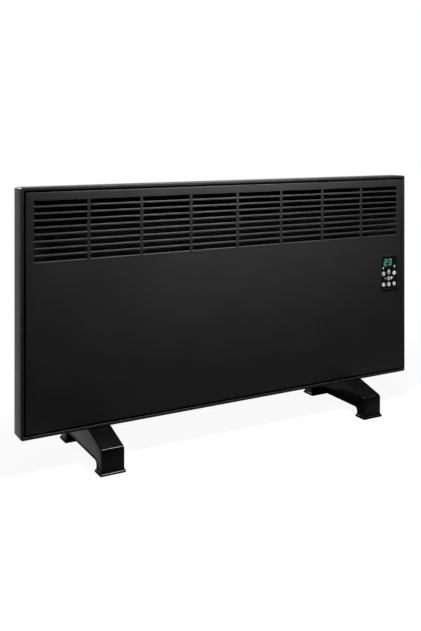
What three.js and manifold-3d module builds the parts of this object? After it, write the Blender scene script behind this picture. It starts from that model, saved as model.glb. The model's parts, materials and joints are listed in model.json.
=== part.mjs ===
// Wall panel convector heater on two moulded feet.
// Millimetres, +X to the heater's right as seen from the front, front face towards -Y, +Z up.
// The origin is on the floor, at the middle of the footprint of the two feet.

import * as THREE from 'three';
import { mergeVertices } from 'three/addons/utils/BufferGeometryUtils.js';
import Module from 'manifold-3d';

const wasm = await Module();
wasm.setup();

// ---------------------------------------------------------------- driving dimensions

// casing
const CASE_WIDTH = 900;
const CASE_HEIGHT = 450;
const CASE_DEPTH = 40;
const STAND_HEIGHT = 65;
const SHEET = 1.2;
const CORNER_R = 4;
const EDGE_R = 1.6;
const RIM = 5.3;
const LEDGE_Y = 12;
const LEDGE_WIDTH = 7;
const INTAKE_ROWS = [19, 30];
const INTAKE_PITCH = 80;
const INTAKE_LENGTH = 66;
const INTAKE_WIDTH = 6;
const INTAKE_MARGIN = 4;
const SCREW_HOLE_R = 2.3;
const GAP = 0.3;

// front panel and its louvres
const GROOVE = 2.7;
const PANEL_CORNER_R = 2;
const PANEL_EDGE_R = 1.2;
const SLOT_COLUMNS = 8;
const SLOT_ROWS = 9;
const SLOT_LENGTH = 99.8;
const SLOT_HEIGHT = 8.5;
const COLUMN_PITCH = 107.4;
const ROW_PITCH = 12.65;
const FIRST_ROW_BELOW_TOP = 28.65;
const SLOT_BEVEL = 0.5;
const LIP_DEPTH = 3;
const LIP_THICKNESS = 0.8;

// control unit, centred on CONTROL_X, CONTROL_Z
const CONTROL_X = 402.8;
const CONTROL_Z = 231;
const BEZEL_WIDTH = 51;
const BEZEL_HEIGHT = 78;
const BEZEL_PROUD = 1.3;
const SLEEVE_WIDTH = 48.4;
const SLEEVE_HEIGHT = 75.4;
const SLEEVE_BACK = 8.5;
const SLEEVE_WALL = 1;
const FASCIA_FRONT = -1;
const FASCIA_BACK = 0.6;
const LENS_X = 400;
const LENS_Z = 253.8;
const LENS_WIDTH = 28;
const LENS_HEIGHT = 21;
const DIGIT_HEIGHT = 17;
const DIGIT_WIDTH = 10.6;
const DIGIT_PITCH = 13.6;
const SEGMENT = 2.2;
const SLANT = 0.1;
const BUTTON_R = 5.25;
const BUTTON_FLANGE_R = 6;
const BUTTON_PROUD = 0.5;
const STEM_R = 1.8;
const STEM_BACK = 6;
const BOARD_FRONT = 9;
const BOARD_BACK = 10.6;
const BOARD_WIDTH = 43;
const BOARD_HEIGHT = 70;
const SWITCH_SIDE = 6;
const LAMP_SIDE = 2.4;
const LAMP_TALL = 1.6;
const CHIP_SIDE = 10;
const CHIP_TALL = 1.4;
const HEADER_WIDTH = 14;
const HEADER_HEIGHT = 5;
const HEADER_TALL = 3.4;
const HEADER_DROP = 27.5;
const MODULE_WIDTH = 27.6;
const MODULE_HEIGHT = 19.6;
const MODULE_FRONT = 2;
const FIGURE_PROUD = 0.2;
const HOUSING_BACK = 17;
const HOUSING_WALL = 1.6;
const RIBBON_SLOT_WIDTH = 16;
const RIBBON_SLOT_FRONT = 12;
const RIBBON_WIDTH = 12;
const RIBBON_THICKNESS = 1;

const BUTTONS = {
  power_button: [386, 228.4],
  mode_button: [417.6, 228.4],
  up_button: [401.5, 231],
  down_button: [401.5, 217.2],
  timer_button: [386, 203.7],
  program_button: [401.5, 203.7],
  lock_button: [417.6, 203.7],
};

const INDICATORS = {
  heating_indicator: [385, 240.9, 2.8, 3.6],
  window_indicator: [418.7, 243.3, 3, 6],
};

// feet, measured along the heater's depth from the casing's front face
const FOOT_X = 300;
const FOOT_WIDTH = 45;
const FOOT_EDGE_R = 1.6;
const POST_FRONT = -63.5;
const POST_BACK = -38;
const LEG_FRONT = 122;
const LEG_BACK = 152.5;
const FLARE = 2.5;
const FLARE_BAND = 3;
const FLARE_TOP = 7;
const KNEE_Z = 44.3;
const KNEE_R = 7;
const ARCH_FRONT_Z = 19;
const ARCH_BACK_Z = 21;
const ARCH_R = 9;
const FOOT_WALL = 3;
const FOOT_SCREW_SPACING = 22;
const FOOT_SCREW_Y = 20;
const SCREW_SEAT_Z = 56;

// heating, inside the casing
const SHIELD_Y = 30.4;
const SHIELD_LEFT = -380;
const SHIELD_RIGHT = 365;
const SHIELD_SHEET = 0.8;
const SHIELD_FOOT_Y = 38.1;
const SHIELD_FOOT_Z = 84;
const SHIELD_SCREW_Z = SHIELD_FOOT_Z + 6;
const SHIELD_TURN_Z = 395;
const SHIELD_TURN_R = 60;
const SHIELD_TURN = 0.74;
const ELEMENT_Z = 150;
const ELEMENT_Y = 15.5;
const ELEMENT_LEFT = -340;
const ELEMENT_RIGHT = 320;
const ELEMENT_CORE_R = 6;
const ELEMENT_REACH = 25;
const ELEMENT_HALF_DEPTH = 12;
const ELEMENT_FIN = 1.6;
const ELEMENT_STUB = 12;
const FIN_PITCH = 41;
const FIN_GAP = 9;
const NOTCH_START = 10;
const NOTCH_END = 30;
const END_PLATE_OUT = 5;
const END_PLATE_FRONT = 6;
const END_PLATE_HEIGHT = 44;
const END_PLATE_FOOT = 14;
const CUTOUT_X = 100;
const CUTOUT_Y = 18;
const CUTOUT_Z = 192;
const CUTOUT_R = 8;
const CUTOUT_TALL = 9;
const CUTOUT_SHELF_WIDTH = 24;
const CUTOUT_SHELF_TOP = 214;
const SENSOR_X = 328;
const SENSOR_Y = 24;
const SENSOR_R = 2.5;
const SENSOR_LOW = 9;
const SENSOR_HIGH = 35;
const CLIP_LOW = 14;
const CLIP_HIGH = 20;
const CLIP_R = 4.4;
const LEAD_R = 1.6;

// fixings and wiring, inside the casing
const BRACKET_X = 410;
const BRACKET_LOW_Z = 30;
const BRACKET_HIGH_Z = 299;
const BRACKET_TALL = 18;
const GLAND_X = 365;
const GLAND_Z = 45;
const GLAND_R = 7.7;
const HOOK_X = 300;
const HOOK_Z = 404;
const HOOK_WIDTH = 30;
const HOOK_HEIGHT = 8;
const TRAY_X = 402;
const TRAY_Z = 138;
const TRAY_WIDTH = 60;
const TRAY_HEIGHT = 86;
const TRAY_WALL = 1.8;
const TRAY_DEPTH = 7.5;
const TRAY_POST_X = 24;
const TRAY_POST_Z = 37;
const TRAY_POST_R = 3;
const TRAY_POST_TALL = 9.5;
const POWER_BOARD_FRONT = 27;
const POWER_BOARD_WIDTH = 55;
const POWER_BOARD_HEIGHT = 81;
const BOARD_THICKNESS = 1.6;
const TERMINAL_X = 367;
const TERMINAL_Z = 71;
const TERMINAL_WIDTH = 42;
const TERMINAL_HEIGHT = 18;
const TERMINAL_DEPTH = 14;
const TERMINAL_PITCH = 14;

// on the power board: width, height, centre from the board's, and the front of each
const COMPONENTS = {
  power_relay: [16, 28, -17, 18, 11],
  supply_module: [26, 30, 11, 15, 9],
  filter_capacitor: [26, 10, -9, -15, 12],
};

// derived
const FOOT_FRONT = POST_FRONT - FLARE;
const FOOT_LENGTH = LEG_BACK + FLARE - FOOT_FRONT;
const CASE_FRONT_Y = -FOOT_LENGTH / 2 - FOOT_FRONT;
const BACK_INSIDE = CASE_DEPTH - SHEET;
const PANEL_INSET = RIM + GROOVE;
const CASE_MID_Z = CASE_HEIGHT / 2;

// ---------------------------------------------------------------- solids

// A closed geometry as a solid: shared corners merged, slivers dropped, faces outwards.
function solid(geometry) {
  geometry.deleteAttribute('normal');
  geometry.deleteAttribute('uv');
  const merged = mergeVertices(geometry, 1e-4);
  const p = merged.getAttribute('position');
  const index = merged.getIndex();
  const triangles = [];
  let volume = 0;
  const a = new THREE.Vector3();
  const b = new THREE.Vector3();
  const c = new THREE.Vector3();
  for (let i = 0; i < index.count; i += 3) {
    const [u, v, w] = [index.getX(i), index.getX(i + 1), index.getX(i + 2)];
    if (u === v || v === w || w === u) continue;
    triangles.push(u, v, w);
    a.fromBufferAttribute(p, u);
    b.fromBufferAttribute(p, v);
    c.fromBufferAttribute(p, w);
    volume += a.dot(b.cross(c));
  }
  if (volume < 0) triangles.reverse();
  return new wasm.Manifold(new wasm.Mesh({
    numProp: 3,
    vertProperties: new Float32Array(p.array),
    triVerts: new Uint32Array(triangles),
  }));
}

function union(pieces) {
  return pieces.reduce((sum, piece) => sum.add(piece));
}

function cut(body, tools) {
  return tools.reduce((rest, tool) => rest.subtract(tool), body);
}

function box(x0, x1, y0, y1, z0, z1) {
  const geometry = new THREE.BoxGeometry(x1 - x0, y1 - y0, z1 - z0);
  geometry.translate((x0 + x1) / 2, (y0 + y1) / 2, (z0 + z1) / 2);
  return solid(geometry);
}

// A box from y0 back to y1, centred on x and z.
function block(x, z, width, height, y0, y1) {
  return box(x - width / 2, x + width / 2, y0, y1, z - height / 2, z + height / 2);
}

function roundedRect(width, height, r, cx = 0, cy = 0) {
  const x = width / 2;
  const y = height / 2;
  const shape = new THREE.Shape();
  shape.absarc(cx + x - r, cy + y - r, r, 0, Math.PI / 2);
  shape.absarc(cx - x + r, cy + y - r, r, Math.PI / 2, Math.PI);
  shape.absarc(cx - x + r, cy - y + r, r, Math.PI, 1.5 * Math.PI);
  shape.absarc(cx + x - r, cy - y + r, r, 1.5 * Math.PI, 2 * Math.PI);
  shape.closePath();
  return shape;
}

function extrude(shape, length, bevel, curveSegments, bevelSegments) {
  return new THREE.ExtrudeGeometry(shape, {
    depth: length - 2 * bevel,
    bevelEnabled: bevel > 0,
    bevelThickness: bevel,
    bevelSize: bevel,
    bevelOffset: -bevel,
    bevelSegments,
    curveSegments,
  }).translate(0, 0, bevel);
}

// A shape drawn in X and Z, made solid from y0 back to y1.
function plate(shape, y0, y1, bevel = 0, curveSegments = 2, bevelSegments = 1) {
  const geometry = extrude(shape, y1 - y0, bevel, curveSegments, bevelSegments);
  geometry.rotateX(Math.PI / 2).translate(0, y1, 0);
  return solid(geometry);
}

// A shape drawn in Y and Z, made solid from x0 to x1.
function bar(shape, x0, x1, bevel = 0) {
  const geometry = extrude(shape, x1 - x0, bevel, 4, 1);
  const turn = new THREE.Matrix4().makeBasis(
    new THREE.Vector3(0, 1, 0),
    new THREE.Vector3(0, 0, 1),
    new THREE.Vector3(1, 0, 0),
  );
  geometry.applyMatrix4(turn).translate(x0, 0, 0);
  return solid(geometry);
}

// A shape drawn in X and Y, made solid from z0 up to z1.
function column(shape, z0, z1) {
  return solid(extrude(shape, z1 - z0, 0, 4, 1).translate(0, 0, z0));
}

// A profile of [radius, height] turned about +Z, then pointed along an axis and moved.
function turned(profile, axis, place, segments = 16) {
  const points = profile.map(([r, h]) => new THREE.Vector2(r, h));
  const geometry = new THREE.LatheGeometry(points, segments);
  const from = new THREE.Vector3(0, 1, 0);
  const spin = new THREE.Quaternion().setFromUnitVectors(from, new THREE.Vector3(...axis));
  geometry.applyQuaternion(spin).translate(...place);
  return solid(geometry);
}

// Rectangles [halfX, halfY or halfZ, height], one above the other, joined into one solid.
function stacked(sections, toPoint) {
  const vertices = [];
  const triangles = [];
  sections.forEach((section) => {
    const [a, b, h] = section;
    [[-a, -b], [a, -b], [a, b], [-a, b]].forEach(([u, v]) => vertices.push(...toPoint(u, v, h)));
  });
  for (let s = 0; s + 1 < sections.length; s += 1) {
    for (let k = 0; k < 4; k += 1) {
      const low = 4 * s + k;
      const next = 4 * s + ((k + 1) % 4);
      triangles.push(low, next, next + 4, low, next + 4, low + 4);
    }
  }
  const top = 4 * (sections.length - 1);
  triangles.push(0, 2, 1, 0, 3, 2);
  triangles.push(top, top + 1, top + 2, top, top + 2, top + 3);
  const geometry = new THREE.BufferGeometry();
  geometry.setAttribute('position', new THREE.Float32BufferAttribute(vertices, 3));
  geometry.setIndex(triangles);
  return solid(geometry);
}

// Folded sheet: the outline of a strip of one thickness that follows a line of points.
function foldedStrip(line, thickness) {
  const left = [];
  const right = [];
  line.forEach(([x, y], i) => {
    const before = line[Math.max(i - 1, 0)];
    const after = line[Math.min(i + 1, line.length - 1)];
    const inward = new THREE.Vector2(x - before[0], y - before[1]).normalize();
    const onward = new THREE.Vector2(after[0] - x, after[1] - y).normalize();
    if (i === 0) inward.copy(onward);
    if (i === line.length - 1) onward.copy(inward);
    const along = inward.clone().add(onward).normalize();
    const reach = thickness / 2 / Math.max(along.dot(inward), 0.3);
    left.push(new THREE.Vector2(x - along.y * reach, y + along.x * reach));
    right.push(new THREE.Vector2(x + along.y * reach, y - along.x * reach));
  });
  return new THREE.Shape([...left, ...right.reverse()]);
}

// A round or flat section carried along a smooth line through points.
function tube(points, section, steps) {
  const path = new THREE.CatmullRomCurve3(points.map((p) => new THREE.Vector3(...p)));
  const options = { steps, extrudePath: path, bevelEnabled: false };
  return solid(new THREE.ExtrudeGeometry(section, options));
}

function roundSection(r, sides) {
  const points = Array.from({ length: sides }, (_, i) => {
    const angle = (2 * Math.PI * i) / sides;
    return new THREE.Vector2(r * Math.cos(angle), r * Math.sin(angle));
  });
  return new THREE.Shape(points);
}

const AXIS_X = [1, 0, 0];
const AXIS_Y = [0, 1, 0];
const AXIS_Z = [0, 0, 1];

function pin(r, from, to, axis, place, segments = 8) {
  return turned([[0, from], [r, from], [r, to], [0, to]], axis, place, segments);
}

// ---------------------------------------------------------------- casing

function rearCasing() {
  const inset = (by, r) => roundedRect(CASE_WIDTH - 2 * by, CASE_HEIGHT - 2 * by, r, 0, CASE_MID_Z);
  const shell = plate(inset(0, CORNER_R), 0, CASE_DEPTH, EDGE_R, 3, 2);
  const hollow = plate(inset(SHEET, CORNER_R - SHEET), SHEET, BACK_INSIDE);
  const mouth = plate(inset(RIM, PANEL_CORNER_R), -1, SHEET + 1);
  const fold = plate(inset(RIM - SHEET, PANEL_CORNER_R), SHEET / 2, LEDGE_Y + SHEET);
  const foldHollow = plate(inset(RIM, PANEL_CORNER_R), -1, LEDGE_Y);
  const ledgeHollow = plate(inset(RIM + LEDGE_WIDTH, PANEL_CORNER_R), 0, LEDGE_Y + 2 * SHEET);
  const returnFold = fold.subtract(foldHollow).subtract(ledgeHollow);
  return cut(shell.subtract(hollow).subtract(mouth).add(returnFold), [
    ...intakeSlots(),
    ...hookSlots(),
    ...casingHoles(),
  ]);
}

// Two rows of slots in the underside let the cool air in, clear of the two feet.
function intakeSlots() {
  const clear = (FOOT_WIDTH + INTAKE_LENGTH) / 2 + INTAKE_MARGIN;
  const slots = [];
  for (let k = -5; k <= 5; k += 1) {
    const x = k * INTAKE_PITCH;
    if (Math.abs(Math.abs(x) - FOOT_X) < clear) continue;
    INTAKE_ROWS.forEach((y) => slots.push(box(
      x - INTAKE_LENGTH / 2, x + INTAKE_LENGTH / 2,
      y - INTAKE_WIDTH / 2, y + INTAKE_WIDTH / 2,
      -1, SHEET + 1,
    )));
  }
  return slots;
}

// A pair of slots in the back takes the hooks of a wall bracket.
function hookSlots() {
  return [-HOOK_X, HOOK_X].map((x) => box(
    x - HOOK_WIDTH / 2, x + HOOK_WIDTH / 2,
    BACK_INSIDE - 1, CASE_DEPTH + 1,
    HOOK_Z - HOOK_HEIGHT / 2, HOOK_Z + HOOK_HEIGHT / 2,
  ));
}

function casingHoles() {
  const back = [BACK_INSIDE - 1, CASE_DEPTH + 1];
  const holes = [pin(GLAND_R + GAP, ...back, AXIS_Y, [GLAND_X, 0, GLAND_Z], 12)];
  bracketPlaces().forEach(([x, z]) => {
    holes.push(pin(2, ...back, AXIS_Y, [x, 0, z]));
  });
  footScrewPlaces().forEach(([x]) => {
    holes.push(pin(SCREW_HOLE_R, -1, SHEET + 1, AXIS_Z, [x, FOOT_SCREW_Y, 0]));
  });
  shieldScrewPlaces().forEach((x) => {
    holes.push(pin(1.8, ...back, AXIS_Y, [x, 0, SHIELD_SCREW_Z]));
  });
  return holes;
}

// ---------------------------------------------------------------- front panel

function panelOutline(by, r) {
  const inset = PANEL_INSET + by;
  return roundedRect(CASE_WIDTH - 2 * inset, CASE_HEIGHT - 2 * inset, r, 0, CASE_MID_Z);
}

// A pan with folded edges, pierced by rows of slots whose edges are turned inwards.
function frontPanel() {
  const depth = LEDGE_Y - GAP;
  const pan = plate(panelOutline(0, PANEL_CORNER_R), 0, depth + PANEL_EDGE_R, PANEL_EDGE_R, 2, 2)
    .subtract(box(-CASE_WIDTH, CASE_WIDTH, depth, 2 * depth, -1, CASE_HEIGHT))
    .subtract(plate(panelOutline(SHEET, PANEL_CORNER_R / 2), SHEET, 2 * depth));
  const places = slotPlaces();
  const lips = places.map(([x, z]) => box(
    x - SLOT_LENGTH / 2 - LIP_THICKNESS, x + SLOT_LENGTH / 2 + LIP_THICKNESS,
    SHEET / 2, LIP_DEPTH,
    z - SLOT_HEIGHT / 2 - LIP_THICKNESS, z + SLOT_HEIGHT / 2 + LIP_THICKNESS,
  ));
  const opening = box(
    CONTROL_X - SLEEVE_WIDTH / 2 - GAP, CONTROL_X + SLEEVE_WIDTH / 2 + GAP, -1, SHEET + 1,
    CONTROL_Z - SLEEVE_HEIGHT / 2 - GAP, CONTROL_Z + SLEEVE_HEIGHT / 2 + GAP,
  );
  return cut(union([pan, ...lips]), [...places.map(slotCutter), opening]);
}

function slotPlaces() {
  const places = [];
  for (let row = 0; row < SLOT_ROWS; row += 1) {
    for (let c = 0; c < SLOT_COLUMNS; c += 1) {
      const x = (c - (SLOT_COLUMNS - 1) / 2) * COLUMN_PITCH;
      places.push([x, CASE_HEIGHT - FIRST_ROW_BELOW_TOP - row * ROW_PITCH]);
    }
  }
  return places;
}

// Wider at the face, so that each slot's edge is rolled over.
function slotCutter([x, z]) {
  const a = SLOT_LENGTH / 2;
  const b = SLOT_HEIGHT / 2;
  const out = SLOT_BEVEL + 1;
  return stacked(
    [[a, b, -LIP_DEPTH - 1], [a, b, -SLOT_BEVEL], [a + out, b + out, 1]],
    (u, v, h) => [x + u, -h, z + v],
  );
}

// ---------------------------------------------------------------- control unit

function controlRect(width, height, r) {
  return roundedRect(width, height, r, CONTROL_X, CONTROL_Z);
}

function controlBezel() {
  const rim = plate(controlRect(BEZEL_WIDTH, BEZEL_HEIGHT, 2.5), -BEZEL_PROUD, -GAP, 0.4);
  const sleeve = plate(controlRect(SLEEVE_WIDTH, SLEEVE_HEIGHT, 1.5), -GAP - 0.5, SLEEVE_BACK);
  const hole = controlRect(SLEEVE_WIDTH - 2 * SLEEVE_WALL, SLEEVE_HEIGHT - 2 * SLEEVE_WALL, 1.2);
  return rim.add(sleeve).subtract(plate(hole, -2 * BEZEL_PROUD, SLEEVE_BACK + 1));
}

function controlFascia() {
  const inset = 2 * (SLEEVE_WALL + GAP);
  const face = controlRect(SLEEVE_WIDTH - inset, SLEEVE_HEIGHT - inset, 1);
  const through = [FASCIA_FRONT - 1, FASCIA_BACK + 1];
  const lensHole = roundedRect(LENS_WIDTH + 2 * GAP, LENS_HEIGHT + 2 * GAP, 1, LENS_X, LENS_Z);
  const holes = [plate(lensHole, ...through)];
  Object.values(BUTTONS).forEach(([x, z]) => {
    holes.push(pin(BUTTON_R + GAP, ...through, AXIS_Y, [x, 0, z], 12));
  });
  Object.values(INDICATORS).forEach(([x, z, w, h]) => {
    holes.push(plate(roundedRect(w + 2 * GAP, h + 2 * GAP, 1.3, x, z), ...through));
  });
  return cut(plate(face, FASCIA_FRONT, FASCIA_BACK), holes);
}

function displayWindow() {
  const outline = roundedRect(LENS_WIDTH, LENS_HEIGHT, 1, LENS_X, LENS_Z);
  return plate(outline, FASCIA_FRONT + 0.05, FASCIA_BACK - 0.2);
}

// Two seven-segment figures stand slightly proud of the module's face.
function displayModule() {
  const body = block(LENS_X, LENS_Z, MODULE_WIDTH, MODULE_HEIGHT, MODULE_FRONT, BOARD_FRONT - GAP);
  const side = (DIGIT_WIDTH - SEGMENT) / 2;
  const top = (DIGIT_HEIGHT - SEGMENT) / 2;
  const middle = DIGIT_HEIGHT / 4;
  const bars = [
    [0, top, true], [0, 0, true], [0, -top, true],
    [-side, middle, false], [side, middle, false],
    [-side, -middle, false], [side, -middle, false],
  ];
  const figures = [-0.5, 0.5].flatMap((place) => {
    const x = LENS_X + place * DIGIT_PITCH;
    return bars.map(([u, v, flat]) => segment(x, u, v, flat));
  });
  return union([body, ...figures]);
}

function segment(mid, x, z, flat) {
  const reach = flat ? DIGIT_WIDTH / 2 - SEGMENT * 0.55 : DIGIT_HEIGHT / 4 - SEGMENT * 0.3;
  const half = SEGMENT / 2;
  const outline = [[-reach, 0], [-reach + half, -half], [reach - half, -half],
    [reach, 0], [reach - half, half], [-reach + half, half]];
  const points = outline.map(([a, b]) => {
    const px = x + (flat ? a : b);
    const pz = z + (flat ? b : a);
    return new THREE.Vector2(mid + px + SLANT * pz, LENS_Z + pz);
  });
  return plate(new THREE.Shape(points), MODULE_FRONT - FIGURE_PROUD, MODULE_FRONT + FIGURE_PROUD);
}

// A domed cap, a flange that keeps it behind the fascia, and the stem that meets its switch.
function button([x, z]) {
  const crown = -FASCIA_FRONT + BUTTON_PROUD;
  const flange = -(FASCIA_BACK + GAP);
  const profile = [
    [0, -STEM_BACK], [STEM_R, -STEM_BACK], [STEM_R, flange - 1],
    [BUTTON_FLANGE_R, flange - 1], [BUTTON_FLANGE_R, flange], [BUTTON_R, flange],
    [BUTTON_R, crown - 0.45], [BUTTON_R - 0.6, crown - 0.1], [0, crown],
  ];
  return turned(profile, [0, -1, 0], [x, 0, z], 12);
}

function indicator([x, z, w, h]) {
  return plate(roundedRect(w, h, 1.1, x, z), FASCIA_FRONT - 0.2, BOARD_FRONT - 2);
}

// The board with a switch behind each button, a lamp behind each indicator, its chip and header.
function controlBoard() {
  const front = BOARD_FRONT + 0.2;
  const back = BOARD_BACK - 0.2;
  const pieces = [block(CONTROL_X, CONTROL_Z, BOARD_WIDTH, BOARD_HEIGHT, BOARD_FRONT, BOARD_BACK)];
  Object.values(BUTTONS).forEach(([x, z]) => {
    pieces.push(block(x, z, SWITCH_SIDE, SWITCH_SIDE, STEM_BACK + 1, front));
  });
  Object.values(INDICATORS).forEach(([x, z]) => {
    pieces.push(block(x, z, LAMP_SIDE, LAMP_SIDE, BOARD_FRONT - LAMP_TALL, front));
  });
  const chipZ = CONTROL_Z + CHIP_SIDE * 0.7;
  const headerZ = CONTROL_Z - HEADER_DROP;
  pieces.push(block(CONTROL_X, chipZ, CHIP_SIDE, CHIP_SIDE, back, BOARD_BACK + CHIP_TALL));
  pieces.push(block(CONTROL_X, headerZ, HEADER_WIDTH, HEADER_HEIGHT, back, BOARD_BACK + HEADER_TALL));
  return union(pieces);
}

// A tray behind the control window, open to the front, with a slot for the ribbon.
function controlHousing() {
  const front = SHEET + GAP;
  const floor = HOUSING_BACK - HOUSING_WALL;
  const inner = controlRect(SLEEVE_WIDTH + 2 * GAP, SLEEVE_HEIGHT + 2 * GAP, HOUSING_WALL);
  const outer = controlRect(
    SLEEVE_WIDTH + 2 * HOUSING_WALL,
    SLEEVE_HEIGHT + 2 * HOUSING_WALL,
    1.5 * HOUSING_WALL,
  );
  const slotZ = CONTROL_Z - SLEEVE_HEIGHT / 2;
  const slot = block(CONTROL_X, slotZ, RIBBON_SLOT_WIDTH, 15, RIBBON_SLOT_FRONT, floor);
  return cut(plate(outer, front, HOUSING_BACK), [plate(inner, front - 1, floor), slot]);
}

// ---------------------------------------------------------------- power unit

function boardPosts() {
  const signs = [[-1, -1], [1, -1], [-1, 1], [1, 1]];
  return signs.map(([u, v]) => [TRAY_X + u * TRAY_POST_X, TRAY_Z + v * TRAY_POST_Z]);
}

function boardTray() {
  const back = BACK_INSIDE - GAP;
  const outline = (by) => (
    roundedRect(TRAY_WIDTH - 2 * by, TRAY_HEIGHT - 2 * by, 3 - by / 2, TRAY_X, TRAY_Z)
  );
  const dish = plate(outline(0), back - TRAY_DEPTH, back);
  const hollow = plate(outline(TRAY_WALL), back - TRAY_DEPTH - 1, back - TRAY_WALL);
  const posts = boardPosts().map(([x, z]) => (
    pin(TRAY_POST_R, back - TRAY_POST_TALL, back - 1, AXIS_Y, [x, 0, z])
  ));
  return union([dish.subtract(hollow), ...posts]);
}

// The board with the mains connector along its foot and the ribbon's header along its head.
function powerBoard() {
  const front = POWER_BOARD_FRONT;
  const edge = POWER_BOARD_HEIGHT / 2;
  return union([
    block(TRAY_X, TRAY_Z, POWER_BOARD_WIDTH, POWER_BOARD_HEIGHT, front, front + BOARD_THICKNESS),
    block(TRAY_X - 3, TRAY_Z - edge + 5, 46, 7, front - 8, front + 0.2),
    block(TRAY_X, TRAY_Z + edge - 3.5, HEADER_WIDTH, 4, front - 5, front + 0.2),
  ]);
}

function component([width, height, x, z, front]) {
  const outline = roundedRect(width, height, 1, TRAY_X + x, TRAY_Z + z);
  return plate(outline, front, POWER_BOARD_FRONT - GAP, 0.8, 1);
}

// Three ways, each with a screw well in its face and a hole for a wire at both ends.
function terminalBlock() {
  const back = BACK_INSIDE - GAP;
  const front = back - TERMINAL_DEPTH;
  const side = TERMINAL_HEIGHT / 2;
  const tools = [];
  [-1, 0, 1].forEach((way) => {
    const x = TERMINAL_X + way * TERMINAL_PITCH;
    tools.push(pin(2.6, front - 1, front + 5, AXIS_Y, [x, 0, TERMINAL_Z]));
    [-side, side].forEach((z) => tools.push(block(x, TERMINAL_Z + z, 4.8, 12, front + 6, front + 10.8)));
  });
  [-0.5, 0.5].forEach((way) => {
    const x = TERMINAL_X + way * TERMINAL_PITCH;
    tools.push(block(x, TERMINAL_Z, 1.2, TERMINAL_HEIGHT + 2, front - 1, front + 4));
  });
  return cut(block(TERMINAL_X, TERMINAL_Z, TERMINAL_WIDTH, TERMINAL_HEIGHT, front, back), tools);
}

// ---------------------------------------------------------------- heating

// An extruded cross of thin arms on a round core, notched into separate fins.
function heatingElement() {
  const turn = Math.asin(ELEMENT_HALF_DEPTH / ELEMENT_REACH);
  const length = ELEMENT_RIGHT - ELEMENT_LEFT;
  const arms = [turn, -turn].map((angle) => {
    const geometry = new THREE.BoxGeometry(length, ELEMENT_FIN, 2 * ELEMENT_REACH);
    geometry.rotateX(angle).translate((ELEMENT_LEFT + ELEMENT_RIGHT) / 2, ELEMENT_Y, ELEMENT_Z);
    return solid(geometry);
  });
  const ends = [ELEMENT_LEFT - ELEMENT_STUB, ELEMENT_RIGHT + ELEMENT_STUB];
  const core = pin(ELEMENT_CORE_R, ...ends, AXIS_X, [0, ELEMENT_Y, ELEMENT_Z], 16);
  const middle = (NOTCH_START + NOTCH_END) / 2;
  const notches = [];
  for (let x = ELEMENT_LEFT + FIN_PITCH; x < ELEMENT_RIGHT - FIN_GAP; x += FIN_PITCH) {
    [-middle, middle].forEach((z) => {
      notches.push(block(x + FIN_GAP / 2, ELEMENT_Z + z, FIN_GAP, NOTCH_END - NOTCH_START, 0, 2 * ELEMENT_Y));
    });
  }
  return cut(union(arms), notches).add(core);
}

// Plates that hold the ends of the element's core, folded outwards on the shield.
function elementBracket(side) {
  const x = (side < 0 ? ELEMENT_LEFT : ELEMENT_RIGHT) + side * END_PLATE_OUT;
  const back = SHIELD_Y - SHIELD_SHEET / 2 - GAP - SHEET / 2;
  const fold = foldedStrip([[x, END_PLATE_FRONT], [x, back], [x + side * END_PLATE_FOOT, back]], SHEET);
  const half = END_PLATE_HEIGHT / 2;
  return column(fold, ELEMENT_Z - half, ELEMENT_Z + half)
    .subtract(pin(ELEMENT_CORE_R + GAP, x - 3, x + 3, AXIS_X, [0, ELEMENT_Y, ELEMENT_Z], 16));
}

// An insulator over each end of the core, with its terminal pin.
function elementCap(side) {
  const start = (side < 0 ? ELEMENT_LEFT : ELEMENT_RIGHT) + side * (ELEMENT_STUB + GAP);
  const profile = [[0, 0], [6.5, 0], [6.5, 6], [5, 7], [5, 11], [1.6, 11.5], [1.6, 18], [0, 18]];
  return turned(profile, [side, 0, 0], [start, ELEMENT_Y, ELEMENT_Z], 14);
}

// Stands off the back wall, and turns the rising air forwards below the casing's top.
function heatShield() {
  const turnSteps = 6;
  const line = [
    [SHIELD_FOOT_Y, SHIELD_FOOT_Z], [SHIELD_FOOT_Y, SHIELD_FOOT_Z + 12],
    [SHIELD_Y, SHIELD_FOOT_Z + 22], [SHIELD_Y, SHIELD_TURN_Z],
  ];
  for (let i = 1; i <= turnSteps; i += 1) {
    const angle = (SHIELD_TURN * i) / turnSteps;
    const y = SHIELD_Y - SHIELD_TURN_R * (1 - Math.cos(angle));
    line.push([y, SHIELD_TURN_Z + SHIELD_TURN_R * Math.sin(angle)]);
  }
  const sheet = bar(foldedStrip(line, SHIELD_SHEET), SHIELD_LEFT, SHIELD_RIGHT);
  const holes = shieldScrewPlaces().map((x) => (
    pin(2.1, SHIELD_Y, CASE_DEPTH, AXIS_Y, [x, 0, SHIELD_SCREW_Z])
  ));
  return cut(sheet, holes);
}

function shieldScrewPlaces() {
  return [-250, 250];
}

// A snap-disc can with two flat tabs.
function thermalCutout() {
  const place = [CUTOUT_X, CUTOUT_Y, CUTOUT_Z + GAP];
  const r = CUTOUT_R;
  const profile = [[0, 0], [r, 0], [r, 2.5], [r - 1, 3.5], [r - 1, CUTOUT_TALL], [0, CUTOUT_TALL]];
  const tabs = [-4, 4].map((x) => box(
    CUTOUT_X + x - 0.4, CUTOUT_X + x + 0.4,
    CUTOUT_Y - 3, CUTOUT_Y + 3,
    CUTOUT_Z + CUTOUT_TALL - 1, CUTOUT_Z + CUTOUT_TALL + 8,
  ));
  return union([turned(profile, AXIS_Z, place, 16), ...tabs]);
}

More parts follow.
